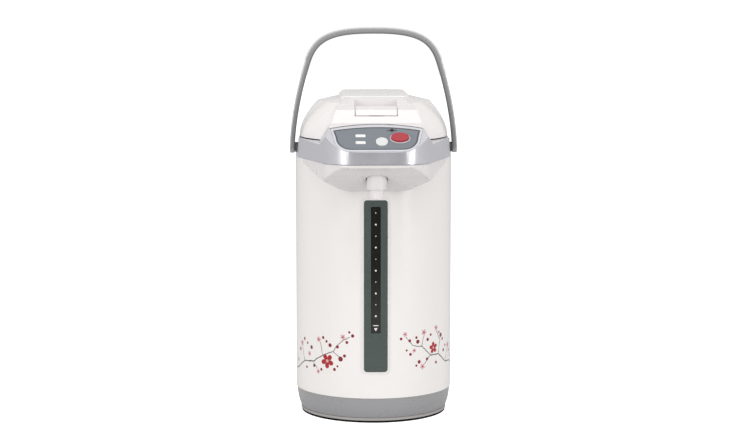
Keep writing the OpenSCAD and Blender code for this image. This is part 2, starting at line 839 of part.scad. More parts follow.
// The beak seen from its side: front face, panel slope and level top
module beak_side(inset) {
    slope_top = seam_z + housing_h - inset;
    run = (slope_top - slope_z + inset / cos(panel_tilt)) / tan(panel_tilt);
    rotate([90, 0, 90]) translate([0, 0, -100]) linear_extrude(height = 200)
        polygon([[0, collar_z - 5], [slope_y + inset, collar_z - 5],
            [slope_y + inset, slope_z - inset * (1 / cos(panel_tilt) - tan(panel_tilt))],
            [slope_y + run, slope_top], [0, slope_top]]);
}

// The housing's crowned top seen from the front, raised by lift
deck_rise = housing_h - housing_corner_h;
deck_r = (housing_top_w * housing_top_w + deck_rise * deck_rise) / (2 * deck_rise);
function deck_line(lift, half_w) = let (r = deck_r + lift, half = asin(half_w / r))
    arc([0, seam_z + housing_h - deck_r], [r, r], 90 - half, 90 + half, 16);

// The housing seen from the front: upright below the seam, drawn in above it
module beak_front(inset) {
    translate([0, 200, 0]) rotate([90, 0, 0]) linear_extrude(height = 400)
        polygon(concat([[body_r + 5, collar_z - 5], [body_r + 5, seam_z - inset],
            [housing_w - inset, seam_z - inset]], deck_line(-inset, housing_top_w - 1.3 * inset),
            [[-housing_w + inset, seam_z - inset], [-body_r - 5, seam_z - inset],
                [-body_r - 5, collar_z - 5]]));
}

module beak_solid(inset) {
    intersection() {
        translate([0, 0, collar_z]) linear_extrude(height = 60) beak_plan(inset);
        beak_side(inset);
        beak_front(inset);
    }
}

// Everything below the collar's lower edge, which rises towards the tip
module below_edge(lift) {
    translate([0, 0, collar_z + lift]) rotate([-atan(beak_rise / beak_reach), 0, 0])
        translate([-150, -250, -60]) cube([300, 250, 60]);
    translate([-150, -EPS, collar_z + lift - 60]) cube([300, 200, 60]);
}

function lid_side(grow) = [for (t = [0:0.1:1]) bez([lid_r + grow, lid_z], [lid_r - 0.6 + grow, lid_z + 13.4],
    [lid_shoulder_r + 14 + grow, shoulder_z - 14.7 + grow / 2],
    [lid_shoulder_r + grow / 2, shoulder_z + grow], t)];

// The lid's round dome
module dome(grow) {
    rotate_extrude() polygon(concat([[0, lid_z - abs(grow)], [lid_r + grow, lid_z - abs(grow)]],
        lid_side(grow), [[crown_r, crown_z + grow], [0, crown_z + grow]]));
}

// The lid's nose, which lies on the housing's crowned top
module nose(grow) {
    intersection() {
        rotate([90, 0, 90]) translate([0, 0, -100]) linear_extrude(height = 200)
            polygon([[0, seam_z], [-nose_reach - grow, seam_z],
                [-nose_reach - grow, seam_z + housing_h + deck_gap + 1],
                [crease_y - grow / 2, crease_z + grow], [-cap_front, ridge_z + grow],
                [-cap_front + ridge_l, crown_z + grow], [0, crown_z + grow]]);
        translate([0, 200, 0]) rotate([90, 0, 0]) linear_extrude(height = 400)
            polygon(concat(deck_line(deck_gap - grow, housing_top_w + 1.4 * min(grow, 0)),
                [[-housing_top_w + nose_lean - grow, crease_z], [-ridge_w - grow, ridge_z + 1],
                    [ridge_w + grow, ridge_z + 1], [housing_top_w - nose_lean + grow, crease_z]]));
    }
}

module lid_shape(grow) {
    dome(grow);
    nose(grow);
}

module collar() {
    lip_z = seam_z - 3;
    color("#c6c5cb") difference() {
        union() {
            translate([0, 0, collar_z]) cylinder(r1 = body_r, r2 = seam_r, h = collar_h);
            beak_solid(0);
            translate([0, 0, collar_z - spigot_h])
                cylinder(r = body_r - body_wall - seat_fit, h = spigot_h + EPS);
        }
        // hollow below the ledge, and the container's passage through it
        translate([0, 0, collar_z - spigot_h - EPS])
            cylinder(r = body_r - body_wall - seat_fit - collar_wall, h = spigot_h + ledge_z - ledge_t - collar_z);
        translate([0, 0, collar_z]) cylinder(r = ledge_r, h = 60);
        translate([0, 0, ledge_z]) cylinder(r = bowl_r, h = 60);
        // hollow of the beak, in front of the ring
        difference() {
            beak_solid(collar_wall);
            translate([0, 0, collar_z - 5]) cylinder(r = bowl_r + collar_wall, h = 60);
            for (x = [-1, 1]) translate([x * 40, -118, collar_z]) cylinder(r = 4, h = 60);
        }
        dome(lid_gap);
        // room for the lid's lower edge as it swings up
        translate([0, 0, lid_z]) cylinder(r1 = lid_r + lid_gap, r2 = lid_r + 2 * lid_gap, h = housing_h + 1);
        intersection() {
            below_edge(0);
            translate([0, 0, collar_z - 30]) difference() {
                translate([-150, -250, 0]) cube([300, 400, 60]);
                cylinder(r = body_r + 0.1, h = 60);
            }
        }
        // passage for the valve and the spout pipe
        translate([-12, -body_r - 6, collar_z - spigot_h - 1]) cube([24, 30, spigot_h + 8]);
        // seats for the rim and the plate, and the opening below the plate
        translate(on_slope(0)) rotate([panel_tilt, 0, 0]) {
            translate([0, 0, -seat_depth]) linear_extrude(height = 20) offset(delta = seat_fit) rim_shape();
            translate([0, (opening_from + opening_to) / 2, -10])
                rounded_box(opening_w, opening_to - opening_from, 30, 4);
            translate([slider_at[0], slider_at[1] - 4, -8]) rounded_box(2 * slider_travel + 11, 15, 20, 2);
        }
        // slot for the lid's hook
        translate([-hook_w / 2 - 1, hook_y - 2, hook_z - 14]) cube([hook_w + 2, hook_t + 10, 20]);
        // bores of the handle's pivots
        for (x = [-1, 1]) translate([x * (body_r - 20), 0, pivot_z]) rotate([0, 90, 0])
            cylinder(r = pivot_r + 2, h = 60, center = true);
        // room for the lid's knuckle and the hinge housing
        translate([-hinge_w / 2, hinge_front, collar_z + 4]) cube([hinge_w, 40, 60]);
    }
}

// Rounded corner between the level foot and a slanted side
function foot_corner(inset) = let (low = collar_z - cover_drop + inset, side = cover_foot_w - inset)
    [[side + 3.6, low + 1.9], [side + 1, low + 0.7], [side - 2, low + 0.1], [side - 5, low]];

module cover_profile(inset) {
    edge_z = collar_z - 0.5 + inset;
    // seen from the front: level foot between two slanted sides
    translate([0, 200, 0]) rotate([90, 0, 0]) linear_extrude(height = 400)
        polygon(concat([[body_r, collar_z + 10], [body_r, edge_z - 1], [body_r - 4 - inset, edge_z - 1]],
            foot_corner(inset), flip(foot_corner(inset)),
            [[-body_r + 4 + inset, edge_z - 1], [-body_r, edge_z - 1], [-body_r, collar_z + 10]]));
}

module cover_solid(inset) {
    foot_z = collar_z - cover_drop + inset;
    edge_z = collar_z - 0.5 + inset;
    intersection() {
        translate([0, 0, foot_z]) linear_extrude(height = cover_drop + 10) beak_plan(0.8 + inset);
        cover_profile(inset);
        rotate([90, 0, 90]) translate([0, 0, -100]) linear_extrude(height = 200)
            polygon([[0, collar_z + 10], [slope_y, collar_z + 10], [slope_y, edge_z],
                [slope_y + 6 + inset, edge_z], [slope_y + 18 + inset / 2, edge_z - 9.5],
                [-body_r - 3, foot_z], [0, foot_z]]);
    }
}

module beak_cover() {
    color("#e3dfde") difference() {
        cover_solid(0);
        difference() {
            cover_solid(cover_wall);
            for (x = [-1, 1]) translate([x * 40, -118, 0]) cylinder(r = 4, h = collar_z);
        }
        translate([0, 0, collar_z - 100]) cylinder(r = body_r + 0.3, h = 200);
        difference() {
            translate([-150, -250, collar_z - 5]) cube([300, 250, 60]);
            below_edge(-0.1);
        }
        translate([0, -nozzle_reach, collar_z - 60]) cylinder(r = boss_r + boss_gap, h = 58);
        // room for the pipe
        translate([0, 0, pipe_z]) rotate([90, 0, 0]) cylinder(r = pipe_r + boss_gap, h = nozzle_reach);
        translate([0, -nozzle_reach, pipe_z]) sphere(r = pipe_r + boss_gap);
    }
}

module mouth_ring() {
    color("#b9b9bd") translate([0, 0, ledge_z + 1]) difference() {
        cylinder(r = bowl_r - seat_fit, h = mouth_top - ledge_z - 1);
        translate([0, 0, -EPS]) cylinder(r = cont_r + 0.3, h = 20);
    }
}

// ---- Control panel ----

function plate_half() = concat(
    arc([plate_foot_w, plate_l - 13], [plate_w - plate_foot_w - 2.9, plate_l - 13], -90, 0, 8),
    [[plate_w, plate_l]]);

module plate_shape() {
    crown_r = (plate_w * plate_w + plate_crown * plate_crown) / (2 * plate_crown);
    half = asin(plate_w / crown_r);
    translate([0, plate_up]) polygon(concat(plate_half(),
        arc([0, plate_l + plate_crown - crown_r], [crown_r, crown_r], 90 - half, 90 + half, 16),
        flip(plate_half())));
}

module rim_shape() {
    offset(delta = rim_w) plate_shape();
}

module dispense_oval(grow) {
    step = 360 / $fn;
    translate(dispense_at) polygon(arc([0, 0], [dispense_size[0] / 2 + grow, dispense_size[1] / 2 + grow],
        step, 360, $fn - 1));
}

module on_panel(depth) {
    translate(on_slope(0)) rotate([panel_tilt, 0, 0]) translate([0, 0, depth]) children();
}

module panel_rim() {
    color("#e0dfe4") on_panel(-seat_depth) linear_extrude(height = seat_depth + rim_proud) difference() {
        rim_shape();
        offset(delta = seat_fit / 2) plate_shape();
    }
}

module control_panel() {
    color("#7d8288") on_panel(-seat_depth) difference() {
        linear_extrude(height = plate_t) plate_shape();
        translate([0, 0, -1]) linear_extrude(height = 10) {
            dispense_oval(button_gap + ring_w);
            translate(reboil_at) circle(r = reboil_r + button_gap);
            for (at = lamp_at) translate(at) rounded_rect(lamp_size[0] + 0.2, lamp_size[1] + 0.2, 1.2);
            translate(slider_at) square([2 * slider_travel + stem_size[0] + 2 * stem_gap,
                stem_size[1] + 2 * stem_gap], center = true);
        }
    }
}

module button_ring() {
    color("#e4e4e6") on_panel(-seat_depth) linear_extrude(height = plate_t + 0.4) difference() {
        dispense_oval(button_gap + ring_w - 0.05);
        dispense_oval(button_gap);
    }
}

// Where a button's stem ends, so that its full travel just reaches the switch
function stem_z(travel) = -board_depth + board_t + switch_h + travel + 0.1;
flange_z = -seat_depth - 0.1 - flange_t;

module dispense_button() {
    color("#b0303c") {
        on_panel(flange_z) linear_extrude(height = flange_t) dispense_oval(flange_w);
        on_panel(flange_z) linear_extrude(height = plate_lip + dispense_travel - flange_z) dispense_oval(0);
        on_panel(stem_z(dispense_travel)) translate(dispense_at)
            cylinder(r = 2, h = flange_z - stem_z(dispense_travel) + EPS);
    }
}

module reboil_button() {
    color("#e6e8e5") {
        on_panel(flange_z) translate(reboil_at) cylinder(r = reboil_r + flange_w, h = flange_t);
        on_panel(flange_z) translate(reboil_at)
            cylinder(r = reboil_r, h = plate_lip + reboil_travel - flange_z);
        on_panel(stem_z(reboil_travel)) translate(reboil_at)
            cylinder(r = 2, h = flange_z - stem_z(reboil_travel) + EPS);
    }
}

module lock_slider() {
    color("#1f1f21") {
        on_panel(plate_lip + slack) translate(slider_at) cylinder(r = slider_r, h = 1.4);
        on_panel(-seat_depth - slack - EPS) translate(slider_at)
            translate([-stem_size[0] / 2, -stem_size[1] / 2, 0])
                cube([stem_size[0], stem_size[1], plate_t + 2 * slack + 2 * EPS]);
        on_panel(-seat_depth - slack - flap_size[2]) translate(slider_at)
            rounded_box(flap_size[0], flap_size[1], flap_size[2], 1.2);
    }
}

module lamp_lenses() {
    color("#f2f2ee") for (at = lamp_at)
        on_panel(-seat_depth) translate(at) rounded_box(lamp_size[0], lamp_size[1], plate_t + 0.35, 1.2);
}

board_boss_at = [board_size[0] / 2 - 5, plate_up + board_foot + 4.5];
module control_board() {
    color("#2f6b45") {
        on_panel(-board_depth) translate([0, plate_up + board_foot + board_size[1] / 2, 0])
            rounded_box(board_size[0], board_size[1], board_t, 2);
        for (x = [-1, 1]) on_panel(-board_depth + board_t - EPS)
            translate([x * board_boss_at[0], board_boss_at[1], 0])
                cylinder(r = 2, h = board_depth - board_t - seat_depth + EPS);
    }
}

module switches() {
    color("#3a3a3d") for (at = [dispense_at, reboil_at])
        on_panel(-board_depth + board_t) translate(at) {
            rounded_box(6, 6, switch_h - 0.6, 0.6);
            translate([0, 0, switch_h - 0.7]) cylinder(r = 1.5, h = 0.7);
        }
}

// ---- Handle ----

shoulder_in = 18.8;
shoulder_h = handle_h - 38;
grip_half_w = 48;
function arm_pts() = [[handle_w, pivot_z], [handle_w - 1.1, pivot_z + shoulder_h - 67],
    [handle_w - 9.5, pivot_z + shoulder_h - 29], [handle_w - shoulder_in, pivot_z + shoulder_h]];
function grip_pts() = [[handle_w - shoulder_in, pivot_z + shoulder_h],
    [handle_w - 28.5, pivot_z + handle_h - 8], [grip_half_w, pivot_z + handle_h], [0, pivot_z + handle_h]];
// A point of the strap's outline: s runs from the pivot (0) to the grip's middle (2)
function strap_pt(s, depth) = let (c = s < 1 ? arm_pts() : grip_pts(), t = s < 1 ? s : s - 1,
    p = bez(c[0], c[1], c[2], c[3], t), d = unit(bez_dir(c[0], c[1], c[2], c[3], t)))
    p + depth * [-d[1], d[0]];
function strap_side(depth0, depth1) = [for (s = [0:0.0625:2]) strap_pt(s, depth0 + (depth1 - depth0) * s / 2)];

module strap(outer, inner) {
    polygon(concat(outer, flip(outer), [for (p = inner) [-p[0], p[1]]],
        [for (i = [len(inner) - 1:-1:0]) inner[i]]));
}

module handle() {
    outer = strap_side(0, 0);
    inner = strap_side(arm_t, grip_t);
    grip = [for (s = [1:0.0625:2]) strap_pt(s, (s - 2) * grip_step)];
    core = [for (s = [1:0.0625:2]) strap_pt(s, arm_t / 2)];
    color("#a5a5a7") difference() {
        intersection() {
            translate([0, strap_w / 2, 0]) rotate([90, 0, 0]) linear_extrude(height = strap_w) union() {
                strap(outer, inner);
                strap(grip, core);
                for (x = [-1, 1]) translate([x * (handle_w - arm_t / 2), pivot_z - strap_w / 4])
                    square([arm_t, strap_w / 2 + EPS], center = true);
            }
            translate([-handle_w - 5, 0, pivot_z]) rotate([0, 90, 0]) union() {
                cylinder(r = strap_w / 2, h = 2 * handle_w + 10);
                translate([-handle_h - 10, -strap_w / 2, 0]) cube([handle_h + 10, strap_w, 2 * handle_w + 10]);
            }
        }
        for (x = [-1, 1]) translate([x * (arm_in + arm_t / 2 - 1.5), 0, pivot_z]) rotate([0, 90, 0])
            cylinder(r = pivot_r + run_fit, h = arm_t, center = true);
    }
}

module handle_pins() {
    shoulder = arm_in - 0.3;
    color("#77777a") for (x = [-1, 1]) on_side(x) translate([0, 0, pivot_z]) rotate([0, 90, 0]) {
        translate([0, 0, bowl_r + 0.5]) cylinder(r = pivot_r + 2 - 0.05, h = shoulder - bowl_r - 0.5);
        translate([0, 0, shoulder - EPS]) cylinder(r = pivot_r, h = arm_t - 2);
    }
}

module on_side(x) {
    if (x > 0) children();
    else mirror([1, 0, 0]) children();
}

// ---- Rear hinge ----

hinge_w = 66;
hinge_front = body_r - 10;
housing_depth = 17;
housing_back = body_r + housing_depth;
knuckle_w = 34;

module hinge_housing() {
    low_z = collar_z + 4.3;
    top_z = hinge_z + 5;
    color("#c6c5cb") difference() {
        intersection() {
            translate([0, housing_back - 30, (low_z + top_z) / 2]) rotate([-90, 0, 0])
                rounded_box(hinge_w - 0.6, top_z - low_z, 30, 5);
            translate([0, 0, low_z]) linear_extrude(height = 60)
                translate([0, housing_back - 60]) rounded_rect(hinge_w - 0.6, 120, 9);
        }
        cylinder(r = bowl_r + 2.2, h = 500);
        dome(lid_gap);
        translate([-knuckle_w / 2 - 0.5, 0, hinge_z - 6]) cube([knuckle_w + 1, hinge_y + 6, 60]);
        translate([-50, hinge_y, hinge_z]) rotate([0, 90, 0]) cylinder(r = hinge_pin_r + 0.02, h = 100);
    }
}

module hinge_pin() {
    color("#b9bbbe") translate([-hinge_w / 2 + 1.5, hinge_y, hinge_z]) rotate([0, 90, 0])
        cylinder(r = hinge_pin_r, h = hinge_w - 3);
}

// ---- Lid ----

module pocket_zone(grow) {
    w = lever_w + 2 * lever_gap + 2 * grow;
    translate([-w / 2, lever_back - 6, pocket_floor - grow])
        cube([w, pocket_l + 6 + grow, 60]);
    translate([-w / 2, -nose_reach - 5, lever_foot - 1 - grow])
        cube([w, lever_back + nose_reach + 5, 60]);
}

module lid_cover() {
    color("#f3efec") difference() {
        union() {
            difference() {
                lid_shape(0);
                lid_shape(-lid_wall);
            }
            // tray of the finger pocket
            intersection() {
                lid_shape(-0.5);
                pocket_zone(1.6);
            }
            // knuckle on the rear hinge
            difference() {
                union() {
                    translate([-knuckle_w / 2, hinge_y, hinge_z]) rotate([0, 90, 0])
                        cylinder(r = 4.6, h = knuckle_w);
                    translate([-knuckle_w / 2, lid_r - 4, hinge_z - 3.5])
                        cube([knuckle_w, hinge_y - lid_r + 4, 7]);
                }
                dome(-lid_wall);
            }
        }
        pocket_zone(0);
        // room for the lever's hook and pin
        translate([-hook_w / 2 - 1, hook_y - 2, hook_z - 10])
            cube([hook_w + 2, hook_t + 10, lever_foot - hook_z + 12]);
        translate([-lever_w / 2 - lever_gap - 1.2, lever_pin_y, lever_pin_z]) rotate([0, 90, 0])
            cylinder(r = lever_pin_r, h = lever_w + 2 * lever_gap + 2.4);
        translate([-60, hinge_y, hinge_z]) rotate([0, 90, 0])
            cylinder(r = hinge_pin_r + run_fit, h = 120);
        // steam vent through the crown
        cylinder(r = steam_r + steam_wall + steam_gap, h = 2 * crown_z);
    }
}

module lid_lever() {
    lever_t = 2.4;
    color("#f3efec") difference() {
        union() {
            intersection() {
                difference() {
                    lid_shape(0);
                    lid_shape(-lever_t);
                }
                translate([-lever_w / 2, -nose_reach - 5, lever_foot])
                    cube([lever_w, lever_back + nose_reach + 5, 60]);
            }
            intersection() {
                lid_shape(0);
                translate([-lever_w / 2, lever_pin_y, lever_pin_z]) rotate([0, 90, 0])
                    cylinder(r = lever_pin_r + 1, h = lever_w);
                translate([-lever_w / 2, -nose_reach - 5, lever_foot]) cube([lever_w, 100, 60]);
            }
            // arm down to the hook
            intersection() {
                lid_shape(-1);
                translate([-hook_w / 2, hook_y, lever_foot - 5]) cube([hook_w, hook_t, 60]);
            }
            translate([-hook_w / 2, hook_y, hook_z]) cube([hook_w, hook_t, lever_foot - hook_z]);
        }
        translate([-60, lever_pin_y, lever_pin_z]) rotate([0, 90, 0])
            cylinder(r = lever_pin_r + run_fit, h = 120);
    }
}

module lever_pin() {
    pin_l = lever_w + 2 * lever_gap + 2.2;
    color("#b9bbbe") translate([-pin_l / 2, lever_pin_y, lever_pin_z]) rotate([0, 90, 0])
        cylinder(r = lever_pin_r, h = pin_l);
}

module lid_inner() {
    color("#c4c6c8") difference() {
        union() {
            translate([0, 0, inner_z]) cylinder(r = lid_r - lid_wall - 0.8, h = inner_t);
            translate([0, 0, inner_z - 1.5]) cylinder(r = cont_r + 5, h = 2);
        }
        translate([0, 0, inner_z - 2]) cylinder(r = steam_r, h = lid_shoulder_h);
        translate([0, 0, inner_z - 2]) cylinder(r = cont_r - 2, h = 2.5);
    }
}

module lid_gasket() {
    color("#d8d8d4") translate([0, 0, mouth_top + 0.3])
        ring(cont_r + 5, cont_r + 1.5, inner_z - 1.5 - mouth_top - 0.3);
}

module steam_cap() {
    top_z = crown_z + cap_h;
    half_w = cap_w / 2;
    color("#f6f3f0") difference() {
        intersection() {
            // seen from the side: sloped ends under a shallow crown
            rotate([90, 0, 90]) translate([0, 0, -60]) linear_extrude(height = 120)
                polygon([[-cap_front, crown_z - 10], [-cap_front, top_z - 6], [-cap_front + 2.5, top_z - 3.2],
                    [-cap_front / 2, top_z - 0.6], [0, top_z], [cap_back / 2, top_z - 0.4],
                    [cap_back - 4, top_z - 1.6], [cap_back, top_z - 4.6], [cap_back, crown_z - 10]]);
            // seen from the front
            translate([0, 100, 0]) rotate([90, 0, 0]) linear_extrude(height = 200)
                polygon([[half_w, crown_z - 10], [half_w, crown_z + 0.4], [half_w - 4.6, top_z - 2],
                    [half_w - 18, top_z - 0.5], [0, top_z], [-half_w + 18, top_z - 0.5],
                    [-half_w + 4.6, top_z - 2], [-half_w, crown_z + 0.4], [-half_w, crown_z - 10]]);
            translate([0, (cap_back - cap_front) / 2, crown_z - 10])
                rounded_box(cap_w, cap_front + cap_back, 40, 14);
        }
        lid_shape(0.05);
        pocket_zone(0);
        for (x = [-14:7:14]) translate([x, 16, crown_z]) rounded_slot(2.2, 12, 20);
        translate([0, 0, crown_z - 1]) cylinder(r = steam_r + steam_wall, h = 3);
    }
}

module rounded_slot(w, l, h) {
    linear_extrude(height = h) {
        square([w, l], center = true);
        for (y = [-1, 1]) translate([0, y * l / 2]) circle(r = w / 2);
    }
}

module steam_tube() {
    color("#e4e1d8") translate([0, 0, inner_z + inner_t]) difference() {
        union() {
            cylinder(r = steam_r + steam_wall, h = crown_z - inner_z - inner_t);
            cylinder(r = steam_r + steam_flange, h = steam_flange_t);
        }
        translate([0, 0, -EPS]) cylinder(r = steam_r, h = 3 * lid_shoulder_h);
    }
}

foot_pad();
turntable();
glide_ring();
swivel_washer();
base_skirt();
bottom_cover();
base_screws();
outer_body();
chassis_plate();
inner_container();
band_heater();
thermostat();
thermal_fuse();
power_board();
power_inlet();
inlet_pins();
pump_motor();
drive_magnet();
pump_housing();
pump_cover();
impeller();
suction_hose();
riser_elbow();
gauge_tube();
gauge_backing();
gauge_frame();
gauge_rim();
gauge_window();
valve_housing();
valve_ball();
spout_pipe();
nozzle_boss();
nozzle();
collar();
beak_cover();
mouth_ring();
panel_rim();
control_panel();
dispense_button();
reboil_button();
lock_slider();
lamp_lenses();
control_board();
switches();
button_ring();
handle();
handle_pins();
hinge_housing();
hinge_pin();
lid_cover();
lid_inner();
lid_gasket();
steam_cap();
steam_tube();
lid_lever();
lever_pin();
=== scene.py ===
import json
import math

import bmesh
import bpy
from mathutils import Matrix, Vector

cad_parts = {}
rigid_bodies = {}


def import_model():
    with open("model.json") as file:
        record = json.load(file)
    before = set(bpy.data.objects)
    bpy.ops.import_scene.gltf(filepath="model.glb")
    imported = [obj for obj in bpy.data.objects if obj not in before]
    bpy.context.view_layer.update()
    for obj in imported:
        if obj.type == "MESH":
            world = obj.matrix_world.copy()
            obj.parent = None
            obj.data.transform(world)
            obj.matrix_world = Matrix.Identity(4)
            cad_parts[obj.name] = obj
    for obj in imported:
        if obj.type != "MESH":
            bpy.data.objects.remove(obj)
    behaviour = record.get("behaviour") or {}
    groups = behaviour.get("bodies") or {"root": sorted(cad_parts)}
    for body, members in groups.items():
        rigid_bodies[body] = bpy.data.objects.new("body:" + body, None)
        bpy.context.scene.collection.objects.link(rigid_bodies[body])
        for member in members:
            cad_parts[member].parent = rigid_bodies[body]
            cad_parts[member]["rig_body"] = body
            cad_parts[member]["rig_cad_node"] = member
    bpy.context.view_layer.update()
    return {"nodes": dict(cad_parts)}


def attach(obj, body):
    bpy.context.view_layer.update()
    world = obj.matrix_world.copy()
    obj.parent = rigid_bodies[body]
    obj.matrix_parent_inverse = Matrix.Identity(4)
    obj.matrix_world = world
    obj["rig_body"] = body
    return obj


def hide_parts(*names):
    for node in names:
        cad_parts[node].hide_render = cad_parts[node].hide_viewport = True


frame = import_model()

# ---- Rubber foot ----
# The disc that the pot stands on: black rubber, pressed with three shallow grooves and
# glued under the turntable. It grips the worktop while the pot turns above it.


def knot(tree, kind, operation=None, **sockets):
    """A node with its input sockets set to numbers, or linked where a socket is given."""
    made = tree.nodes.new(kind)
    if operation:
        made.operation = operation
    for name, value in sockets.items():
        numbered = name[0] == "i" and name[1:].isdigit()
        socket = made.inputs[int(name[1:]) if numbered else name]
        if isinstance(value, bpy.types.NodeSocket):
            tree.links.new(value, socket)
        else:
            socket.default_value = value
    return made


def sums(tree, operation, first, second=0.0, third=0.0):
    """One step of arithmetic on sockets or numbers."""
    return knot(tree, "ShaderNodeMath", operation, i0=first, i1=second, i2=third).outputs[0]


def shaded(colour, factor):
    return (*[min(1.0, c * factor) for c in colour[:3]], 1.0)


def srgb(code):
    """Linear colour of a hexadecimal screen colour."""
    parts = [int(code[i:i + 2], 16) / 255 for i in (1, 3, 5)]
    return (*[p / 12.92 if p < 0.04045 else ((p + 0.055) / 1.055) ** 2.4 for p in parts], 1.0)


def blank_finish(name):
    material = bpy.data.materials.new(name)
    material.use_nodes = True
    tree = material.node_tree
    return material, tree, tree.nodes["Principled BSDF"]


def uneven(tree, shader, place, colour, mottle, mottle_size, rough, rough_swing, grain, grain_size):
    """Mottled colour, uneven gloss and a fine relief, all on the piece's own coordinates."""
    cloud = knot(tree, "ShaderNodeTexNoise", Vector=place, Scale=1 / mottle_size, Detail=4.0)
    tint = knot(tree, "ShaderNodeMix", Factor=cloud.outputs["Fac"])
    tint.data_type = "RGBA"
    tint.inputs[6].default_value = shaded(colour, 1 - mottle)
    tint.inputs[7].default_value = shaded(colour, 1 + mottle)
    tree.links.new(tint.outputs[2], shader.inputs["Base Color"])
    wear = knot(tree, "ShaderNodeTexNoise", Vector=place, Scale=1 / (mottle_size * 0.4), Detail=5.0)
    gloss = knot(tree, "ShaderNodeMapRange", Value=wear.outputs["Fac"])
    gloss.inputs["From Min"].default_value = 0.3
    gloss.inputs["From Max"].default_value = 0.7
    gloss.inputs["To Min"].default_value = rough - rough_swing
    gloss.inputs["To Max"].default_value = rough + rough_swing
    tree.links.new(gloss.outputs[0], shader.inputs["Roughness"])
    fine = knot(tree, "ShaderNodeTexNoise", Vector=place, Scale=1 / grain_size, Detail=3.0)
    relief = knot(tree, "ShaderNodeBump", Height=fine.outputs["Fac"], Distance=grain)
    tree.links.new(relief.outputs[0], shader.inputs["Normal"])
    return tint


def moulded(name, colour, rough, mottle=0.02, grain=0.000004, grain_size=0.0008, coat=0.0):
    """Injection-moulded plastic: faint flow mottling, uneven gloss and the mould's fine texture."""
    material, tree, shader = blank_finish(name)
    place = knot(tree, "ShaderNodeTexCoord").outputs["Object"]
    uneven(tree, shader, place, colour, mottle, 0.03, rough, 0.05, grain, grain_size)
    shader.inputs["Coat Weight"].default_value = coat
    return material


def finish_node(node, material):
    """A solid whose shape is right keeps it, and gets a finish of its own."""
    frame["nodes"][node].data.materials.clear()
    frame["nodes"][node].data.materials.append(material)


foot_rubber = moulded("foot_rubber", srgb("#0f0f10"), 0.85, mottle=0.12, grain=0.00002, grain_size=0.0012)
foot_rubber.node_tree.nodes["Principled BSDF"].inputs["Specular IOR Level"].default_value = 0.12
finish_node("foot_pad", foot_rubber)

# ---- Turntable with its glide ring and washer ----
# The turntable is a grey moulded plate with a hollow pivot. A thin white ring lets it slide,
# and a pressed, zinc-plated washer keeps the pivot inside the base.


def worked_metal(name, colour, rough, along=(1.0, 1.0, 12.0), line=0.0006, relief_depth=0.000004):
    """Bare or plated metal with fine lines that run one way, from drawing or rolling."""
    material, tree, shader = blank_finish(name)
    place = knot(tree, "ShaderNodeTexCoord").outputs["Object"]
    turned = knot(tree, "ShaderNodeMapping", Vector=place)
    turned.inputs["Scale"].default_value = along
    lines = knot(tree, "ShaderNodeTexNoise", Vector=turned.outputs[0], Scale=0.1 / line, Detail=6.0)
    uneven(tree, shader, place, colour, 0.04, 0.02, rough, 0.06, relief_depth, 0.0009)
    relief = knot(tree, "ShaderNodeBump", Height=lines.outputs["Fac"], Distance=relief_depth)
    tree.links.new(relief.outputs[0], shader.inputs["Normal"])
    shader.inputs["Metallic"].default_value = 1.0
    return material


# grey plastic; also the painted shade on the collar's lid recess
grey_moulding_and_recess_shade = moulded("grey_moulding_and_recess_shade", srgb("#5c5c5e"), 0.5)
natural_moulding = moulded("natural_moulding", srgb("#dfdcd2"), 0.45)
zinc = worked_metal("zinc_plate", srgb("#b9bbbe"), 0.38)
finish_node("turntable", moulded("turntable_grey", srgb("#a7a4a2"), 0.4))
finish_node("glide_ring", natural_moulding)
finish_node("swivel_washer", zinc)

# ---- Base skirt with its bottom cover ----
# The skirt is one grey gloss moulding that draws in at its foot, with posts for the chassis
# plate. The bottom cover closes it and is held by four plated screws.


def only(piece):
    """Makes this the one selected and active object."""
    bpy.ops.object.select_all(action="DESELECT")
    piece.select_set(True)
    bpy.context.view_layer.objects.active = piece


def take_solid(node, name, merge=0.00001, flat=0.5):
    """A copy of a solid with its loose triangles joined into faces."""
    only(frame["nodes"][node])
    bpy.ops.object.duplicate()
    piece = bpy.context.active_object
    bpy.ops.object.parent_clear(type="CLEAR_KEEP_TRANSFORM")
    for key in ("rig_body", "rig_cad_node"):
        del piece[key]
    piece.name = piece.data.name = name
    piece.data.materials.clear()
    bpy.ops.mesh.customdata_custom_splitnormals_clear()
    bpy.ops.object.mode_set(mode="EDIT")
    bpy.ops.mesh.select_all(action="SELECT")
    bpy.ops.mesh.remove_doubles(threshold=merge)
    bpy.ops.mesh.dissolve_limited(angle_limit=math.radians(flat))
    bpy.ops.object.mode_set(mode="OBJECT")
    return piece


def soften(piece, width, segments=3, angle=28):
    """Rounds the edges as a mould does, and smooths the faces between them."""
    only(piece)
    edge = piece.modifiers.new("edge", "BEVEL")
    edge.width = width
    edge.segments = segments
    edge.limit_method = "ANGLE"
    edge.angle_limit = math.radians(angle)
    edge.use_clamp_overlap = True
    bpy.ops.object.modifier_apply(modifier="edge")
    bpy.ops.object.shade_smooth_by_angle(angle=math.radians(38))
    evened = piece.modifiers.new("evened", "WEIGHTED_NORMAL")
    evened.keep_sharp = True
    bpy.ops.object.modifier_apply(modifier="evened")
    return piece


def fit(piece, body, slot, material, *nodes):
    """Gives a piece its finish, says which body it rides on, and hides the solids it stands for."""
    piece.data.materials.clear()
    piece.data.materials.append(material)
    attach(piece, body)
    if nodes:
        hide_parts(*nodes)
    return piece


skirt_grey = moulded("skirt_grey", srgb("#9b9a9c"), 0.3, mottle=0.01, grain=0.000003, coat=0.2)
skirt = soften(take_solid("base_skirt", "skirt_shell"), 0.0006)
fit(skirt, "pot", "base_plastic", skirt_grey, "base_skirt")
finish_node("bottom_cover", grey_moulding_and_recess_shade)
finish_node("base_screws", zinc)

# ---- Printed outer body ----
# A tube of sheet steel in white gloss enamel. Two sprays of blossom and berries are printed
# round its foot in red, crimson, pale pink and dark grey ink, under the clear top coat.

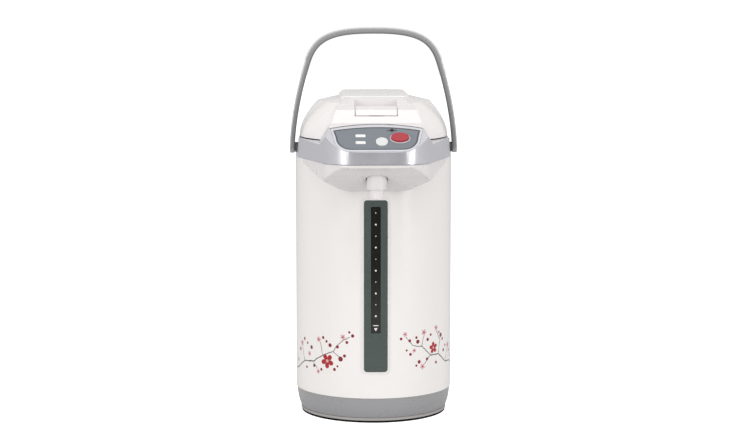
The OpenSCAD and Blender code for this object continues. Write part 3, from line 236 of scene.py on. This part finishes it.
BODY_R = 0.092
SPOT_EDGE = 0.12
STROKE_EDGE = 0.1
HAND_SHAKE = 2.6
SMALL_PETAL = 5
# twigs: start s, z; end s, z; half width, all in millimetres round and up the body
twigs = [
    (-140, 50, -118, 56, 0.74), (-118, 56, -101, 66, 0.74), (-101, 66, -83, 68, 0.68),
    (-83, 68, -67, 77, 0.61), (-67, 77, -52, 83, 0.54), (-52, 83, -41, 96, 0.47), (-41, 96, -31, 101, 0.41),
    (-101, 66, -107, 82, 0.47), (-83, 68, -76, 60, 0.41), (-67, 77, -70, 92, 0.41), (-52, 83, -43, 77, 0.41),
    (142, 54, 120, 62, 0.74), (120, 62, 104, 64, 0.74), (104, 64, 87, 75, 0.68), (87, 75, 71, 76, 0.61),
    (71, 76, 58, 88, 0.54), (58, 88, 45, 90, 0.47), (45, 90, 36, 101, 0.41), (87, 75, 90, 92, 0.47),
    (90, 92, 83, 103, 0.41), (71, 76, 62, 67, 0.41), (104, 64, 111, 78, 0.41), (58, 88, 61, 101, 0.41),
]
# blossoms: centre s, z; reach of a petal; turn
blossoms = [
    (-60, 71, 8.8, 0.3), (-73, 95, 3.6, 0.9), (-39, 101, 3.4, 0.2), (-108, 86, 4.2, 0.6),
    (-74, 57, 3.0, 1.0), (-90, 76, 3.2, 0.1), (-122, 64, 3.6, 0.4),
    (77, 84, 7.0, 0.7), (61, 104, 3.8, 0.1), (35, 104, 3.0, 0.5), (82, 107, 3.4, 0.8),
    (59, 64, 3.6, 0.3), (113, 82, 4.4, 0.9), (47, 84, 2.8, 0.6), (124, 68, 3.4, 0.2),
]
# berries: centre s, z; radius
berries = [
    (-42, 75, 3.0), (-37, 79, 1.9), (-46, 89, 2.0), (-34, 95, 1.8), (-27, 103, 2.0), (-31, 107, 1.4),
    (-56, 90, 2.3), (-61, 94, 1.6), (-66, 98, 1.8), (-81, 63, 2.0), (-69, 60, 1.7), (-86, 84, 2.3),
    (-94, 88, 1.6), (-101, 92, 1.9), (-113, 78, 2.3), (-96, 59, 1.7), (-50, 62, 1.9), (-46, 66, 1.3),
    (52, 94, 2.4), (50, 99, 1.6), (41, 96, 1.9), (30, 99, 1.7), (67, 95, 2.0), (72, 100, 1.6),
    (92, 97, 2.6), (96, 92, 1.7), (88, 101, 1.4), (66, 72, 1.9), (54, 70, 2.2), (50, 66, 1.4),
    (99, 78, 2.0), (104, 83, 1.6), (117, 75, 1.9), (82, 66, 1.8), (42, 80, 1.8), (37, 85, 1.3),
]
enamel_white = srgb("#f1edea")
ink_red = srgb("#a90713")
ink_crimson = srgb("#83101f")
ink_pink = srgb("#dcaaae")
ink_twig = srgb("#625b59")


def ramp(tree, value, low, high):
    """0 to 1 as a value goes from low to high."""
    return knot(tree, "ShaderNodeMapRange", Value=value, **{"From Min": low, "From Max": high}).outputs[0]


def spot_shape():
    """Group: how far a point lies inside a round spot, 0 to 1 across a soft printed edge."""
    group = bpy.data.node_groups.new("printed_spot", "ShaderNodeTree")
    for name in ("Point", "Centre"):
        group.interface.new_socket(name, in_out="INPUT", socket_type="NodeSocketVector")
    for name in ("Radius", "Turn"):
        group.interface.new_socket(name, in_out="INPUT", socket_type="NodeSocketFloat")
    group.interface.new_socket("Spot", in_out="OUTPUT", socket_type="NodeSocketFloat")
    group.interface.new_socket("Petals", in_out="OUTPUT", socket_type="NodeSocketFloat")
    given = group.nodes.new("NodeGroupInput").outputs
    result = group.nodes.new("NodeGroupOutput").inputs
    apart = knot(group, "ShaderNodeVectorMath", "SUBTRACT", i0=given["Point"], i1=given["Centre"])
    reach = knot(group, "ShaderNodeVectorMath", "LENGTH", i0=apart.outputs[0])
    parts = knot(group, "ShaderNodeSeparateXYZ", i0=apart.outputs[0]).outputs
    heading = sums(group, "ARCTAN2", parts[1], parts[0])
    inside = sums(group, "SUBTRACT", given["Radius"], reach.outputs["Value"])
    group.links.new(ramp(group, inside, -SPOT_EDGE, SPOT_EDGE), result["Spot"])
    wave = sums(group, "MULTIPLY_ADD", heading, 2.5, given["Turn"])
    petal = sums(group, "ABSOLUTE", sums(group, "COSINE", wave))
    outline = sums(group, "MULTIPLY_ADD", sums(group, "POWER", petal, 0.6), 0.62, 0.38)
    petal_edge = sums(group, "MULTIPLY", outline, given["Radius"])
    petal_in = sums(group, "SUBTRACT", petal_edge, reach.outputs["Value"])
    group.links.new(ramp(group, petal_in, -SPOT_EDGE, SPOT_EDGE), result["Petals"])
    return group


def stroke_shape():
    """Group: how far a point lies inside a brush stroke from one point to another."""
    group = bpy.data.node_groups.new("printed_stroke", "ShaderNodeTree")
    for name in ("Point", "From", "To"):
        group.interface.new_socket(name, in_out="INPUT", socket_type="NodeSocketVector")
    group.interface.new_socket("Half", in_out="INPUT", socket_type="NodeSocketFloat")
    group.interface.new_socket("Ink", in_out="OUTPUT", socket_type="NodeSocketFloat")
    given = group.nodes.new("NodeGroupInput").outputs
    result = group.nodes.new("NodeGroupOutput").inputs

    def vector(operation, first, second=(0.0, 0.0, 0.0)):
        made = knot(group, "ShaderNodeVectorMath", operation, i0=first, i1=second)
        return made.outputs["Value" if operation in ("DOT_PRODUCT", "LENGTH") else "Vector"]

    start = vector("SUBTRACT", given["Point"], given["From"])
    line = vector("SUBTRACT", given["To"], given["From"])
    share = sums(group, "DIVIDE", vector("DOT_PRODUCT", start, line), vector("DOT_PRODUCT", line, line))
    share = sums(group, "MINIMUM", sums(group, "MAXIMUM", share, 0.0), 1.0)
    foot = knot(group, "ShaderNodeVectorMath", "SCALE", i0=line, Scale=share)
    away = vector("LENGTH", vector("SUBTRACT", start, foot.outputs[0]))
    inside = sums(group, "SUBTRACT", given["Half"], away)
    group.links.new(ramp(group, inside, -STROKE_EDGE, STROKE_EDGE), result["Ink"])
    return group


def printed_enamel():
    material, tree, shader = blank_finish("printed_enamel")
    place = knot(tree, "ShaderNodeTexCoord").outputs["Object"]
    tint = uneven(tree, shader, place, enamel_white, 0.008, 0.06, 0.2, 0.03, 0.000006, 0.004)
    axes = knot(tree, "ShaderNodeSeparateXYZ", i0=place).outputs
    around = sums(tree, "ARCTAN2", axes[0], sums(tree, "MULTIPLY", axes[1], -1.0))
    around = sums(tree, "MULTIPLY", around, BODY_R * 1000)
    height = sums(tree, "MULTIPLY", axes[2], 1000.0)
    flat = knot(tree, "ShaderNodeCombineXYZ", i0=around, i1=height).outputs[0]
    hand = knot(tree, "ShaderNodeTexNoise", Vector=flat, Scale=0.16, Detail=2.0)
    shake = knot(tree, "ShaderNodeVectorMath", "SUBTRACT", i0=hand.outputs["Color"], i1=(0.5, 0.5, 0.5))
    shake = knot(tree, "ShaderNodeVectorMath", "MULTIPLY_ADD",
                 i0=shake.outputs[0], i1=(HAND_SHAKE, HAND_SHAKE, 0.0), i2=flat)
    spot, stroke = spot_shape(), stroke_shape()

    def stamp(group, output, point, **values):
        made = tree.nodes.new("ShaderNodeGroup")
        made.node_tree = group
        tree.links.new(point, made.inputs["Point"])
        for name, value in values.items():
            made.inputs[name].default_value = value
        return made.outputs[output]

    def most(marks):
        total = marks[0]
        for mark in marks[1:]:
            total = sums(tree, "MAXIMUM", total, mark)
        return total

    drawn = shake.outputs[0]
    ink_masks = [
        (most([stamp(stroke, "Ink", drawn, From=(a, b, 0), To=(c, d, 0), Half=w)
               for a, b, c, d, w in twigs]), ink_twig),
        (most([stamp(spot, "Petals", flat, Centre=(s, z, 0), Radius=r, Turn=t * 3.0)
               for s, z, r, t in blossoms if r < SMALL_PETAL]), ink_pink),
        (most([stamp(spot, "Petals", flat, Centre=(s, z, 0), Radius=r, Turn=t * 3.0)
               for s, z, r, t in blossoms if r >= SMALL_PETAL]), ink_red),
        (most([stamp(spot, "Spot", flat, Centre=(s, z, 0), Radius=r * 0.3, Turn=0.0)
               for s, z, r, t in blossoms if r < SMALL_PETAL]
              + [stamp(spot, "Spot", flat, Centre=(s, z, 0), Radius=r, Turn=0.0)
                 for s, z, r in berries]), ink_crimson),
        (most([stamp(spot, "Spot", flat, Centre=(s, z, 0), Radius=r * 0.22, Turn=0.0)
               for s, z, r, t in blossoms if r >= SMALL_PETAL]), ink_pink),
    ]
    colour = tint.outputs[2]
    for mask, ink in ink_masks:
        layer = knot(tree, "ShaderNodeMix", Factor=mask)
        layer.data_type = "RGBA"
        tree.links.new(colour, layer.inputs[6])
        layer.inputs[7].default_value = ink
        colour = layer.outputs[2]
    tree.links.new(colour, shader.inputs["Base Color"])
    shader.inputs["Coat Weight"].default_value = 0.4
    shader.inputs["Coat Roughness"].default_value = 0.08
    return material


finish_node("outer_body", printed_enamel())

# ---- Chassis, heater and container ----
# The container is deep-drawn stainless steel, hung in the collar by its flange. A band heater
# of mica and steel is clamped round its foot, with a thermostat and a fuse under its floor.

drawn_steel = worked_metal("drawn_steel", srgb("#c9cbcd"), 0.24, along=(1.0, 1.0, 30.0))
mica_band = worked_metal("mica_band", srgb("#8a7f6c"), 0.5)
steatite = moulded("steatite", srgb("#d3cdbc"), 0.7, mottle=0.05, grain=0.00001)
finish_node("chassis_plate", zinc)
finish_node("inner_container", drawn_steel)
finish_node("band_heater", mica_band)
finish_node("thermostat", steatite)
finish_node("thermal_fuse", steatite)

# ---- Boards and power inlet ----
# Two boards of green lacquered laminate carry the switches and the supply. The inlet at the
# back is a black moulded socket with two plated pins.

laminate = moulded("board_laminate", srgb("#2f6b45"), 0.35, mottle=0.08)
black_moulding = moulded("black_moulding", srgb("#232325"), 0.42, mottle=0.06)
pin_brass = worked_metal("pin_brass", srgb("#cdb26a"), 0.25)
finish_node("power_board", laminate)
finish_node("control_board", laminate)
finish_node("switches", black_moulding)
inlet = soften(take_solid("power_inlet", "inlet_socket"), 0.0008)
fit(inlet, "pot", "black_plastic", black_moulding, "power_inlet")
finish_node("inlet_pins", pin_brass)

# ---- Pump and risers ----
# A motor turns a magnet under the pump's floor, and the magnet turns the impeller through it.
# Silicone hoses lead the water from the container to the pump and on to the gauge tube.

silicone = moulded("silicone", srgb("#d9d6cc"), 0.55, mottle=0.03)
motor_steel = worked_metal("motor_steel", srgb("#9fa1a4"), 0.35)
ferrite = moulded("ferrite", srgb("#46464a"), 0.6, mottle=0.15, grain=0.00001)
impeller_blue = moulded("impeller_blue", srgb("#3c62a0"), 0.4)
finish_node("pump_motor", motor_steel)
finish_node("drive_magnet", ferrite)
finish_node("pump_housing", natural_moulding)
finish_node("pump_cover", natural_moulding)
finish_node("impeller", impeller_blue)
for hose in ("suction_hose", "riser_elbow", "spout_pipe"):
    finish_node(hose, silicone)
finish_node("valve_housing", natural_moulding)
finish_node("valve_ball", drawn_steel)

# ---- Water gauge ----
# A glass tube stands behind a smoked window in a dark grey-green frame, with a white rim
# against the body. The level marks are printed on the window in white.

GAUGE_FACE_Y = -0.0934
level_dots = [(0.2331, 0.00105), (0.2066, 0.00105), (0.1798, 0.00105), (0.1533, 0.00105), (0.1269, 0.00105),
              (0.2464, 0.0006), (0.2197, 0.0006), (0.1931, 0.0006), (0.1666, 0.0006), (0.1403, 0.0006)]
INK_T = 0.00012


def clear_glass(name, tint_colour, rough, transmission):
    material, tree, shader = blank_finish(name)
    place = knot(tree, "ShaderNodeTexCoord").outputs["Object"]
    uneven(tree, shader, place, tint_colour, 0.03, 0.02, rough, rough * 0.5, 0.000003, 0.003)
    shader.inputs["Transmission Weight"].default_value = transmission
    shader.inputs["IOR"].default_value = 1.47
    return material


finish_node("gauge_tube", clear_glass("tube_glass", srgb("#e6eeee"), 0.03, 0.9))
finish_node("gauge_backing", black_moulding)
gauge_green = moulded("gauge_green", srgb("#48524f"), 0.3, mottle=0.01)
surround = soften(take_solid("gauge_frame", "gauge_surround"), 0.0007)
fit(surround, "pot", "gauge_plastic", gauge_green, "gauge_frame")
rim_white = moulded("rim_white", srgb("#f1eeec"), 0.28)
border = soften(take_solid("gauge_rim", "gauge_border"), 0.0005)
fit(border, "pot", "rim_plastic", rim_white, "gauge_rim")
finish_node("gauge_window", clear_glass("smoked_window", srgb("#2b2a27"), 0.07, 0.35))

marks = []
for height, radius in level_dots:
    bpy.ops.object.select_all(action="DESELECT")
    bpy.ops.mesh.primitive_cylinder_add(vertices=20, radius=radius, depth=INK_T,
                                        location=(0, GAUGE_FACE_Y - INK_T / 2, height),
                                        rotation=(math.radians(90), 0, 0))
    marks.append(bpy.context.active_object)
bpy.ops.object.select_all(action="DESELECT")
bpy.ops.mesh.primitive_cube_add(size=1, location=(0, GAUGE_FACE_Y - INK_T / 2, 0.1159))
bpy.context.active_object.scale = (0.0062, INK_T, 0.0009)
marks.append(bpy.context.active_object)
bpy.ops.object.select_all(action="DESELECT")
bpy.ops.mesh.primitive_cylinder_add(vertices=3, radius=0.0024, depth=INK_T,
                                    location=(0, GAUGE_FACE_Y - INK_T / 2, 0.1118),
                                    rotation=(math.radians(90), 0, 0))
bpy.context.active_object.rotation_euler[1] = math.radians(180)
marks.append(bpy.context.active_object)
bpy.ops.object.select_all(action="DESELECT")
for mark in marks:
    mark.select_set(True)
bpy.ops.object.join()
level_marks = bpy.context.active_object
level_marks.name = level_marks.data.name = "level_marks"
bpy.ops.object.transform_apply(location=True, rotation=True, scale=True)
bpy.ops.object.mode_set(mode="EDIT")
bpy.ops.mesh.select_all(action="SELECT")
bpy.ops.mesh.bevel(offset=INK_T * 0.3, segments=1, affect="EDGES")
bpy.ops.object.mode_set(mode="OBJECT")
mark_white = moulded("mark_white", srgb("#f3ecea"), 0.5)
fit(level_marks, "pot", "lamp_plastic", mark_white)

# ---- Spout boss and nozzle ----
# The boss is moulded in white and holds the nozzle, a white tube that screws in from below.

cover_white = moulded("cover_white", srgb("#e6e2e1"), 0.3)
nozzle_white = moulded("nozzle_white", srgb("#f0eaea"), 0.22, coat=0.3)
boss = soften(take_solid("nozzle_boss", "spout_boss"), 0.0009)
fit(boss, "pot", "cover_plastic", cover_white, "nozzle_boss")
tip = soften(take_solid("nozzle", "spout_tip"), 0.0006)
fit(tip, "pot", "cover_plastic", nozzle_white, "nozzle")

# ---- Collar and white cover ----
# The collar is the ring over the body and the housing of the panel in one moulding, painted
# silver. The white cover closes the beak from below and carries the spout.


def silver_paint(name, colour, rough):
    """Silver paint with fine flakes under a clear coat."""
    material, tree, shader = blank_finish(name)
    place = knot(tree, "ShaderNodeTexCoord").outputs["Object"]
    tint = uneven(tree, shader, place, colour, 0.01, 0.05, rough, 0.04, 0.000003, 0.0015)
    flakes = knot(tree, "ShaderNodeTexVoronoi", Vector=place, Scale=5000.0)
    glint = knot(tree, "ShaderNodeMix", Factor=flakes.outputs["Distance"])
    glint.data_type = "RGBA"
    tree.links.new(tint.outputs[2], glint.inputs[6])
    glint.inputs[7].default_value = shaded(colour, 1.12)
    tree.links.new(glint.outputs[2], shader.inputs["Base Color"])
    shader.inputs["Metallic"].default_value = 0.8
    shader.inputs["Coat Weight"].default_value = 0.05
    shader.inputs["Coat Roughness"].default_value = 0.2
    return material


RECESS_R = 0.0925
collar_silver = silver_paint("collar_silver", srgb("#d9d8de"), 0.31)
collar_shell = soften(take_solid("collar", "collar_shell"), 0.0012, segments=4)
fit(collar_shell, "pot", "silver_plastic", collar_silver, "collar")
# inward faces of the recess round the lid get dark grey plastic as painted shade, darkening the seam where
# the gap is in shadow
collar_shell.data.materials.append(grey_moulding_and_recess_shade)
for face in collar_shell.data.polygons:
    outward = Vector((face.center.x, face.center.y, 0))
    if outward.length < RECESS_R and face.normal.dot(outward.normalized()) < -0.25:
        face.material_index = 1


def melt(piece, fineness, passes, bore_z=None, bore_r=0.0):
    """Full, flowing roundings: an even skin of small faces is eased, but not round a bore along X."""
    only(piece)
    piece.data.remesh_voxel_size = fineness
    bpy.ops.object.voxel_remesh()
    eased = piece.vertex_groups.new(name="eased")
    for point in piece.data.vertices:
        depth = 1.0 if bore_z is None else math.hypot(point.co.y, point.co.z - bore_z) - bore_r
        eased.add([point.index], min(1.0, max(0.0, depth / 0.0015)), "REPLACE")
    rounded = piece.modifiers.new("rounded", "SMOOTH")
    rounded.factor = 0.5
    rounded.iterations = passes
    rounded.vertex_group = "eased"
    bpy.ops.object.modifier_apply(modifier="rounded")
    bpy.ops.object.shade_smooth()
    return piece


under_cover = melt(take_solid("beak_cover", "under_cover"), 0.00066, 37)
fit(under_cover, "pot", "cover_plastic", cover_white, "beak_cover")
finish_node("mouth_ring", grey_moulding_and_recess_shade)

# ---- Control panel ----
# A satin slate plate lies in a light rim, with a thin dark strip just inside its edge as painted shadow
# where the rim meets it. It holds two lamp lenses, the round white key, the red key with its light ring, and
# the lock slider.

PANEL_NORMAL = Vector((0, -math.sin(math.radians(36)), math.cos(math.radians(36))))
SHADOW_STRIP_W = (0.0003, 0.0015)
STRIP_HALF = 0.00002
SHARPEST_MITRE = 0.4
FLAP_DEPTH = 0.0016
rim_light = moulded("rim_light", srgb("#d8d7dc"), 0.35, coat=0.1)
panel_slate = moulded("panel_slate", srgb("#7d838a"), 0.4, mottle=0.01)
lens_white = moulded("lens_white", srgb("#f6f6f3"), 0.3)
key_white = moulded("key_white", srgb("#e3e5e3"), 0.35)
key_red = moulded("key_red", srgb("#b3313d"), 0.32, coat=0.2)
panel_edge = soften(take_solid("panel_rim", "panel_edge"), 0.0005)
fit(panel_edge, "pot", "rim_plastic", rim_light, "panel_rim")
panel_plate = soften(take_solid("control_panel", "panel_plate"), 0.0002, segments=2)
fit(panel_plate, "pot", "panel_plastic", panel_slate, "control_panel")
# a thin dark strip just inside the plate's outer edge is painted shadow along the rim
plate = bmesh.new()
plate.from_mesh(panel_plate.data)
front = max(face.calc_center_median().dot(PANEL_NORMAL) for face in plate.faces)
tops = {face for face in plate.faces if face.normal.dot(PANEL_NORMAL) > 0.999
        and face.calc_center_median().dot(PANEL_NORMAL) > front - 0.00005}
rims = {edge for edge in plate.edges if len(tops.intersection(edge.link_faces)) == 1}
corner = min((point for edge in rims for point in edge.verts), key=lambda point: point.co.x)
outline = [corner]
while len(outline) < 3 or outline[-1] is not corner:
    linked = [edge.other_vert(outline[-1]) for edge in outline[-1].link_edges if edge in rims]
    outline.append(next(point for point in linked if len(outline) < 2 or point is not outline[-2]))
outline = [point.co.copy() for point in outline[:-1]]
plate.free()
middle = sum(outline, Vector()) / len(outline)
shadow_strip_bmesh = bmesh.new()
stations = []
for at, before, after in zip(outline, outline[-1:] + outline[:-1], outline[1:] + outline[:1]):
    ins = []
    for way in ((at - before).normalized(), (after - at).normalized()):
        inward = PANEL_NORMAL.cross(way)
        ins.append(inward if inward.dot(middle - at) > 0 else -inward)
    bisector = (ins[0] + ins[1]).normalized()
    mitre = bisector / max(SHARPEST_MITRE, bisector.dot(ins[0]))
    stations.append([shadow_strip_bmesh.verts.new(at + mitre * reach + PANEL_NORMAL * lift)
                     for reach, lift in ((SHADOW_STRIP_W[0], -STRIP_HALF), (SHADOW_STRIP_W[0], STRIP_HALF),
                                         (SHADOW_STRIP_W[1], STRIP_HALF), (SHADOW_STRIP_W[1], -STRIP_HALF))])
for here, onward in zip(stations, stations[1:] + stations[:1]):
    for side in range(4):
        shadow_strip_bmesh.faces.new((here[side], onward[side], onward[side - 3], here[side - 3]))
bmesh.ops.recalc_face_normals(shadow_strip_bmesh, faces=shadow_strip_bmesh.faces)
shadow_strip_mesh = bpy.data.meshes.new("panel_rim_shadow")
shadow_strip_bmesh.to_mesh(shadow_strip_mesh)
shadow_strip_bmesh.free()
panel_rim_shadow = bpy.data.objects.new("panel_rim_shadow", shadow_strip_mesh)
bpy.context.scene.collection.objects.link(panel_rim_shadow)
# the strip's dark colour is painted shadow
fit(panel_rim_shadow, "pot", "panel_plastic", moulded("rim_shadow_paint", srgb("#4a4f54"), 0.4))
red_ring = soften(take_solid("button_ring", "red_key_ring"), 0.0003)
fit(red_ring, "pot", "rim_plastic", rim_light, "button_ring")
lenses = soften(take_solid("lamp_lenses", "lamp_covers"), 0.0003)
fit(lenses, "pot", "lamp_plastic", lens_white, "lamp_lenses")
red_key = soften(take_solid("dispense_button", "red_key"), 0.0009)
fit(red_key, "dispense_key", "red_plastic", key_red, "dispense_button")
white_key = soften(take_solid("reboil_button", "white_key"), 0.0007)
fit(white_key, "reboil_key", "key_white", key_white, "reboil_button")
slider = soften(take_solid("lock_slider", "slider_knob"), 0.0004)
fit(slider, "lock", "black_plastic", black_moulding, "lock_slider")
slider.data.materials.append(moulded("slider_flap", srgb("#dfe3e5"), 0.5))
depths = [face.center.dot(PANEL_NORMAL) for face in slider.data.polygons]
for face, depth in zip(slider.data.polygons, depths):
    face.material_index = 1 if depth < min(depths) + FLAP_DEPTH else 0

# ---- Carrying bail ----
# The bail is one strap of grey plastic, thicker at its grip, that snaps on to two pins in the
# collar's sides. Its colour carries painted light and shade: light grey where it faces up and out, dark grey
# where it faces in, a little darker on the arms below the grip.

BAIL_PIVOT_Z = 0.314
BAIL_MIDDLE_Z = 0.37
CROWN_Z = (0.38, 0.43)
SHADE_FALL = 1.6
ARM_LIGHT_SHARE = 0.82
bail = melt(take_solid("handle", "bail_strap"), 0.0006, 44, bore_z=BAIL_PIVOT_Z, bore_r=0.0046)
# painted light and shade per vertex: near 1 where the strap faces up and out, near 0 where it faces in,
# scaled down to 0.82 below the grip
painted_light_tone = bail.data.attributes.new("painted_light_tone", "FLOAT", "POINT")
for point, mark in zip(bail.data.vertices, painted_light_tone.data):
    away = Vector((point.co.x, 0, point.co.z - BAIL_MIDDLE_Z)).normalized()
    rise = min(1.0, max(0.0, (point.co.z - CROWN_Z[0]) / (CROWN_Z[1] - CROWN_Z[0])))
    facing = 0.5 + 0.5 * point.normal.dot(away)
    mark.value = facing ** SHADE_FALL * (ARM_LIGHT_SHARE + (1 - ARM_LIGHT_SHARE) * rise)
# light grey #ededed is the painted lit side, dark grey #3e3f40 below is the painted shaded side
bail_painted_shading = moulded("bail_painted_shading", srgb("#ededed"), 0.3, mottle=0.01, coat=0.5)
bail_shading_tree = bail_painted_shading.node_tree
bail_shader = bail_shading_tree.nodes["Principled BSDF"]
lit_colour = bail_shader.inputs["Base Color"].links[0].from_socket
tone_reader = bail_shading_tree.nodes.new("ShaderNodeAttribute")
tone_reader.attribute_name = "painted_light_tone"
shade_mix = knot(bail_shading_tree, "ShaderNodeMix", Factor=tone_reader.outputs["Fac"])
shade_mix.data_type = "RGBA"
shade_mix.inputs[6].default_value = srgb("#3e3f40")
bail_shading_tree.links.new(lit_colour, shade_mix.inputs[7])
bail_shading_tree.links.new(shade_mix.outputs[2], bail_shader.inputs["Base Color"])
fit(bail, "bail", "handle_plastic", bail_painted_shading, "handle")
pivot_grey = moulded("pivot_grey", srgb("#4d4d4e"), 0.45)
finish_node("handle_pins", pivot_grey)

# ---- Rear hinge ----
# The housing is moulded in the collar's silver and holds a plated pin for the lid's knuckle.

hinge_shell = soften(take_solid("hinge_housing", "hinge_shell"), 0.0012)
fit(hinge_shell, "pot", "silver_plastic", collar_silver, "hinge_housing")
finish_node("hinge_pin", zinc)

# ---- Lid ----
# The lid is a white gloss moulding with a pocket for the fingers behind its lever. A vented
# cap covers the steam outlet, and a steel plate with a gasket closes the container's mouth.

lid_white = moulded("lid_white", srgb("#f5f1ef"), 0.24, mottle=0.006, grain=0.000003, coat=0.25)
lid_shell = soften(take_solid("lid_cover", "lid_shell"), 0.0011)
fit(lid_shell, "lid", "white_plastic", lid_white, "lid_cover")
vent_cap = soften(take_solid("steam_cap", "vent_cap"), 0.0012)
fit(vent_cap, "lid", "white_plastic", lid_white, "steam_cap")
lever = soften(take_solid("lid_lever", "lever_flap"), 0.0009)
fit(lever, "lever", "white_plastic", lid_white, "lid_lever")
finish_node("lever_pin", zinc)
finish_node("lid_inner", drawn_steel)
finish_node("lid_gasket", silicone)
finish_node("steam_tube", natural_moulding)

# ---- Studio ----
# A white floor that keeps the contact shadow and gets dark a metre in front, a plain sky, and
# soft boxes to the left, to the right and overhead.

DARK_TO_LIGHT_Y = (-1.3, -0.8)
bpy.ops.object.select_all(action="DESELECT")
bpy.ops.mesh.primitive_plane_add(size=14, location=(0, 0, 0))
floor = bpy.context.active_object
floor.name = "floor"
floor_paint, floor_tree, floor_shader = blank_finish("floor_paint")
floor_place = knot(floor_tree, "ShaderNodeTexCoord").outputs["Object"]
floor_y = knot(floor_tree, "ShaderNodeSeparateXYZ", i0=floor_place).outputs[1]
sweep = knot(floor_tree, "ShaderNodeMix", Factor=ramp(floor_tree, floor_y, *DARK_TO_LIGHT_Y))
sweep.data_type = "RGBA"
sweep.inputs[6].default_value = (0.06, 0.06, 0.06, 1)
sweep.inputs[7].default_value = (0.74, 0.74, 0.74, 1)
floor_tree.links.new(sweep.outputs[2], floor_shader.inputs["Base Color"])
floor_shader.inputs["Roughness"].default_value = 0.9
floor_shader.inputs["Specular IOR Level"].default_value = 0.0
floor_seen = floor_tree.nodes.new("ShaderNodeLightPath").outputs["Is Camera Ray"]
floor_shader.inputs["Emission Color"].default_value = (1, 1, 1, 1)
floor_glow = sums(floor_tree, "MULTIPLY", floor_seen, 0.8)
floor_tree.links.new(floor_glow, floor_shader.inputs["Emission Strength"])
floor.data.materials.append(floor_paint)

world = bpy.data.worlds.new("studio")
world.use_nodes = True
bpy.context.scene.world = world
sky_tree = world.node_tree
sky = sky_tree.nodes["Background"]
sky.inputs["Color"].default_value = (1, 1, 1, 1)
sky_seen = sky_tree.nodes.new("ShaderNodeLightPath").outputs["Is Camera Ray"]
sky_tree.links.new(sums(sky_tree, "MULTIPLY_ADD", sky_seen, 0.3, 0.7), sky.inputs["Strength"])


def soft_box(name, place, aim, size, watts):
    bpy.ops.object.select_all(action="DESELECT")
    bpy.ops.object.light_add(type="AREA", location=place)
    lamp = bpy.context.active_object
    lamp.name = name
    lamp.data.shape = "RECTANGLE"
    lamp.data.size, lamp.data.size_y = size
    lamp.data.energy = watts
    lamp.rotation_euler = (Vector(aim) - Vector(place)).to_track_quat("-Z", "Y").to_euler()
    return lamp


soft_box("box_left", (-1.5, -1.6, 0.8), (0, 0, 0.22), (0.7, 1.3), 15)
soft_box("box_right", (1.6, -1.5, 0.7), (0, 0, 0.22), (0.5, 1.3), 13)
soft_box("box_over", (0, -0.5, 1.9), (0, 0, 0.3), (1.6, 1.2), 4)

bpy.ops.object.select_all(action="DESELECT")
bpy.ops.object.camera_add(location=(-0.0742, -2.4989, 0.540),
                          rotation=(math.radians(90 - 7.21), 0, math.radians(-1.676)))
camera = bpy.context.active_object
camera.data.lens = 102.49
camera.data.sensor_width = 36
camera.data.clip_end = 30
bpy.context.scene.camera = camera
bpy.context.scene.view_settings.view_transform = "Standard"
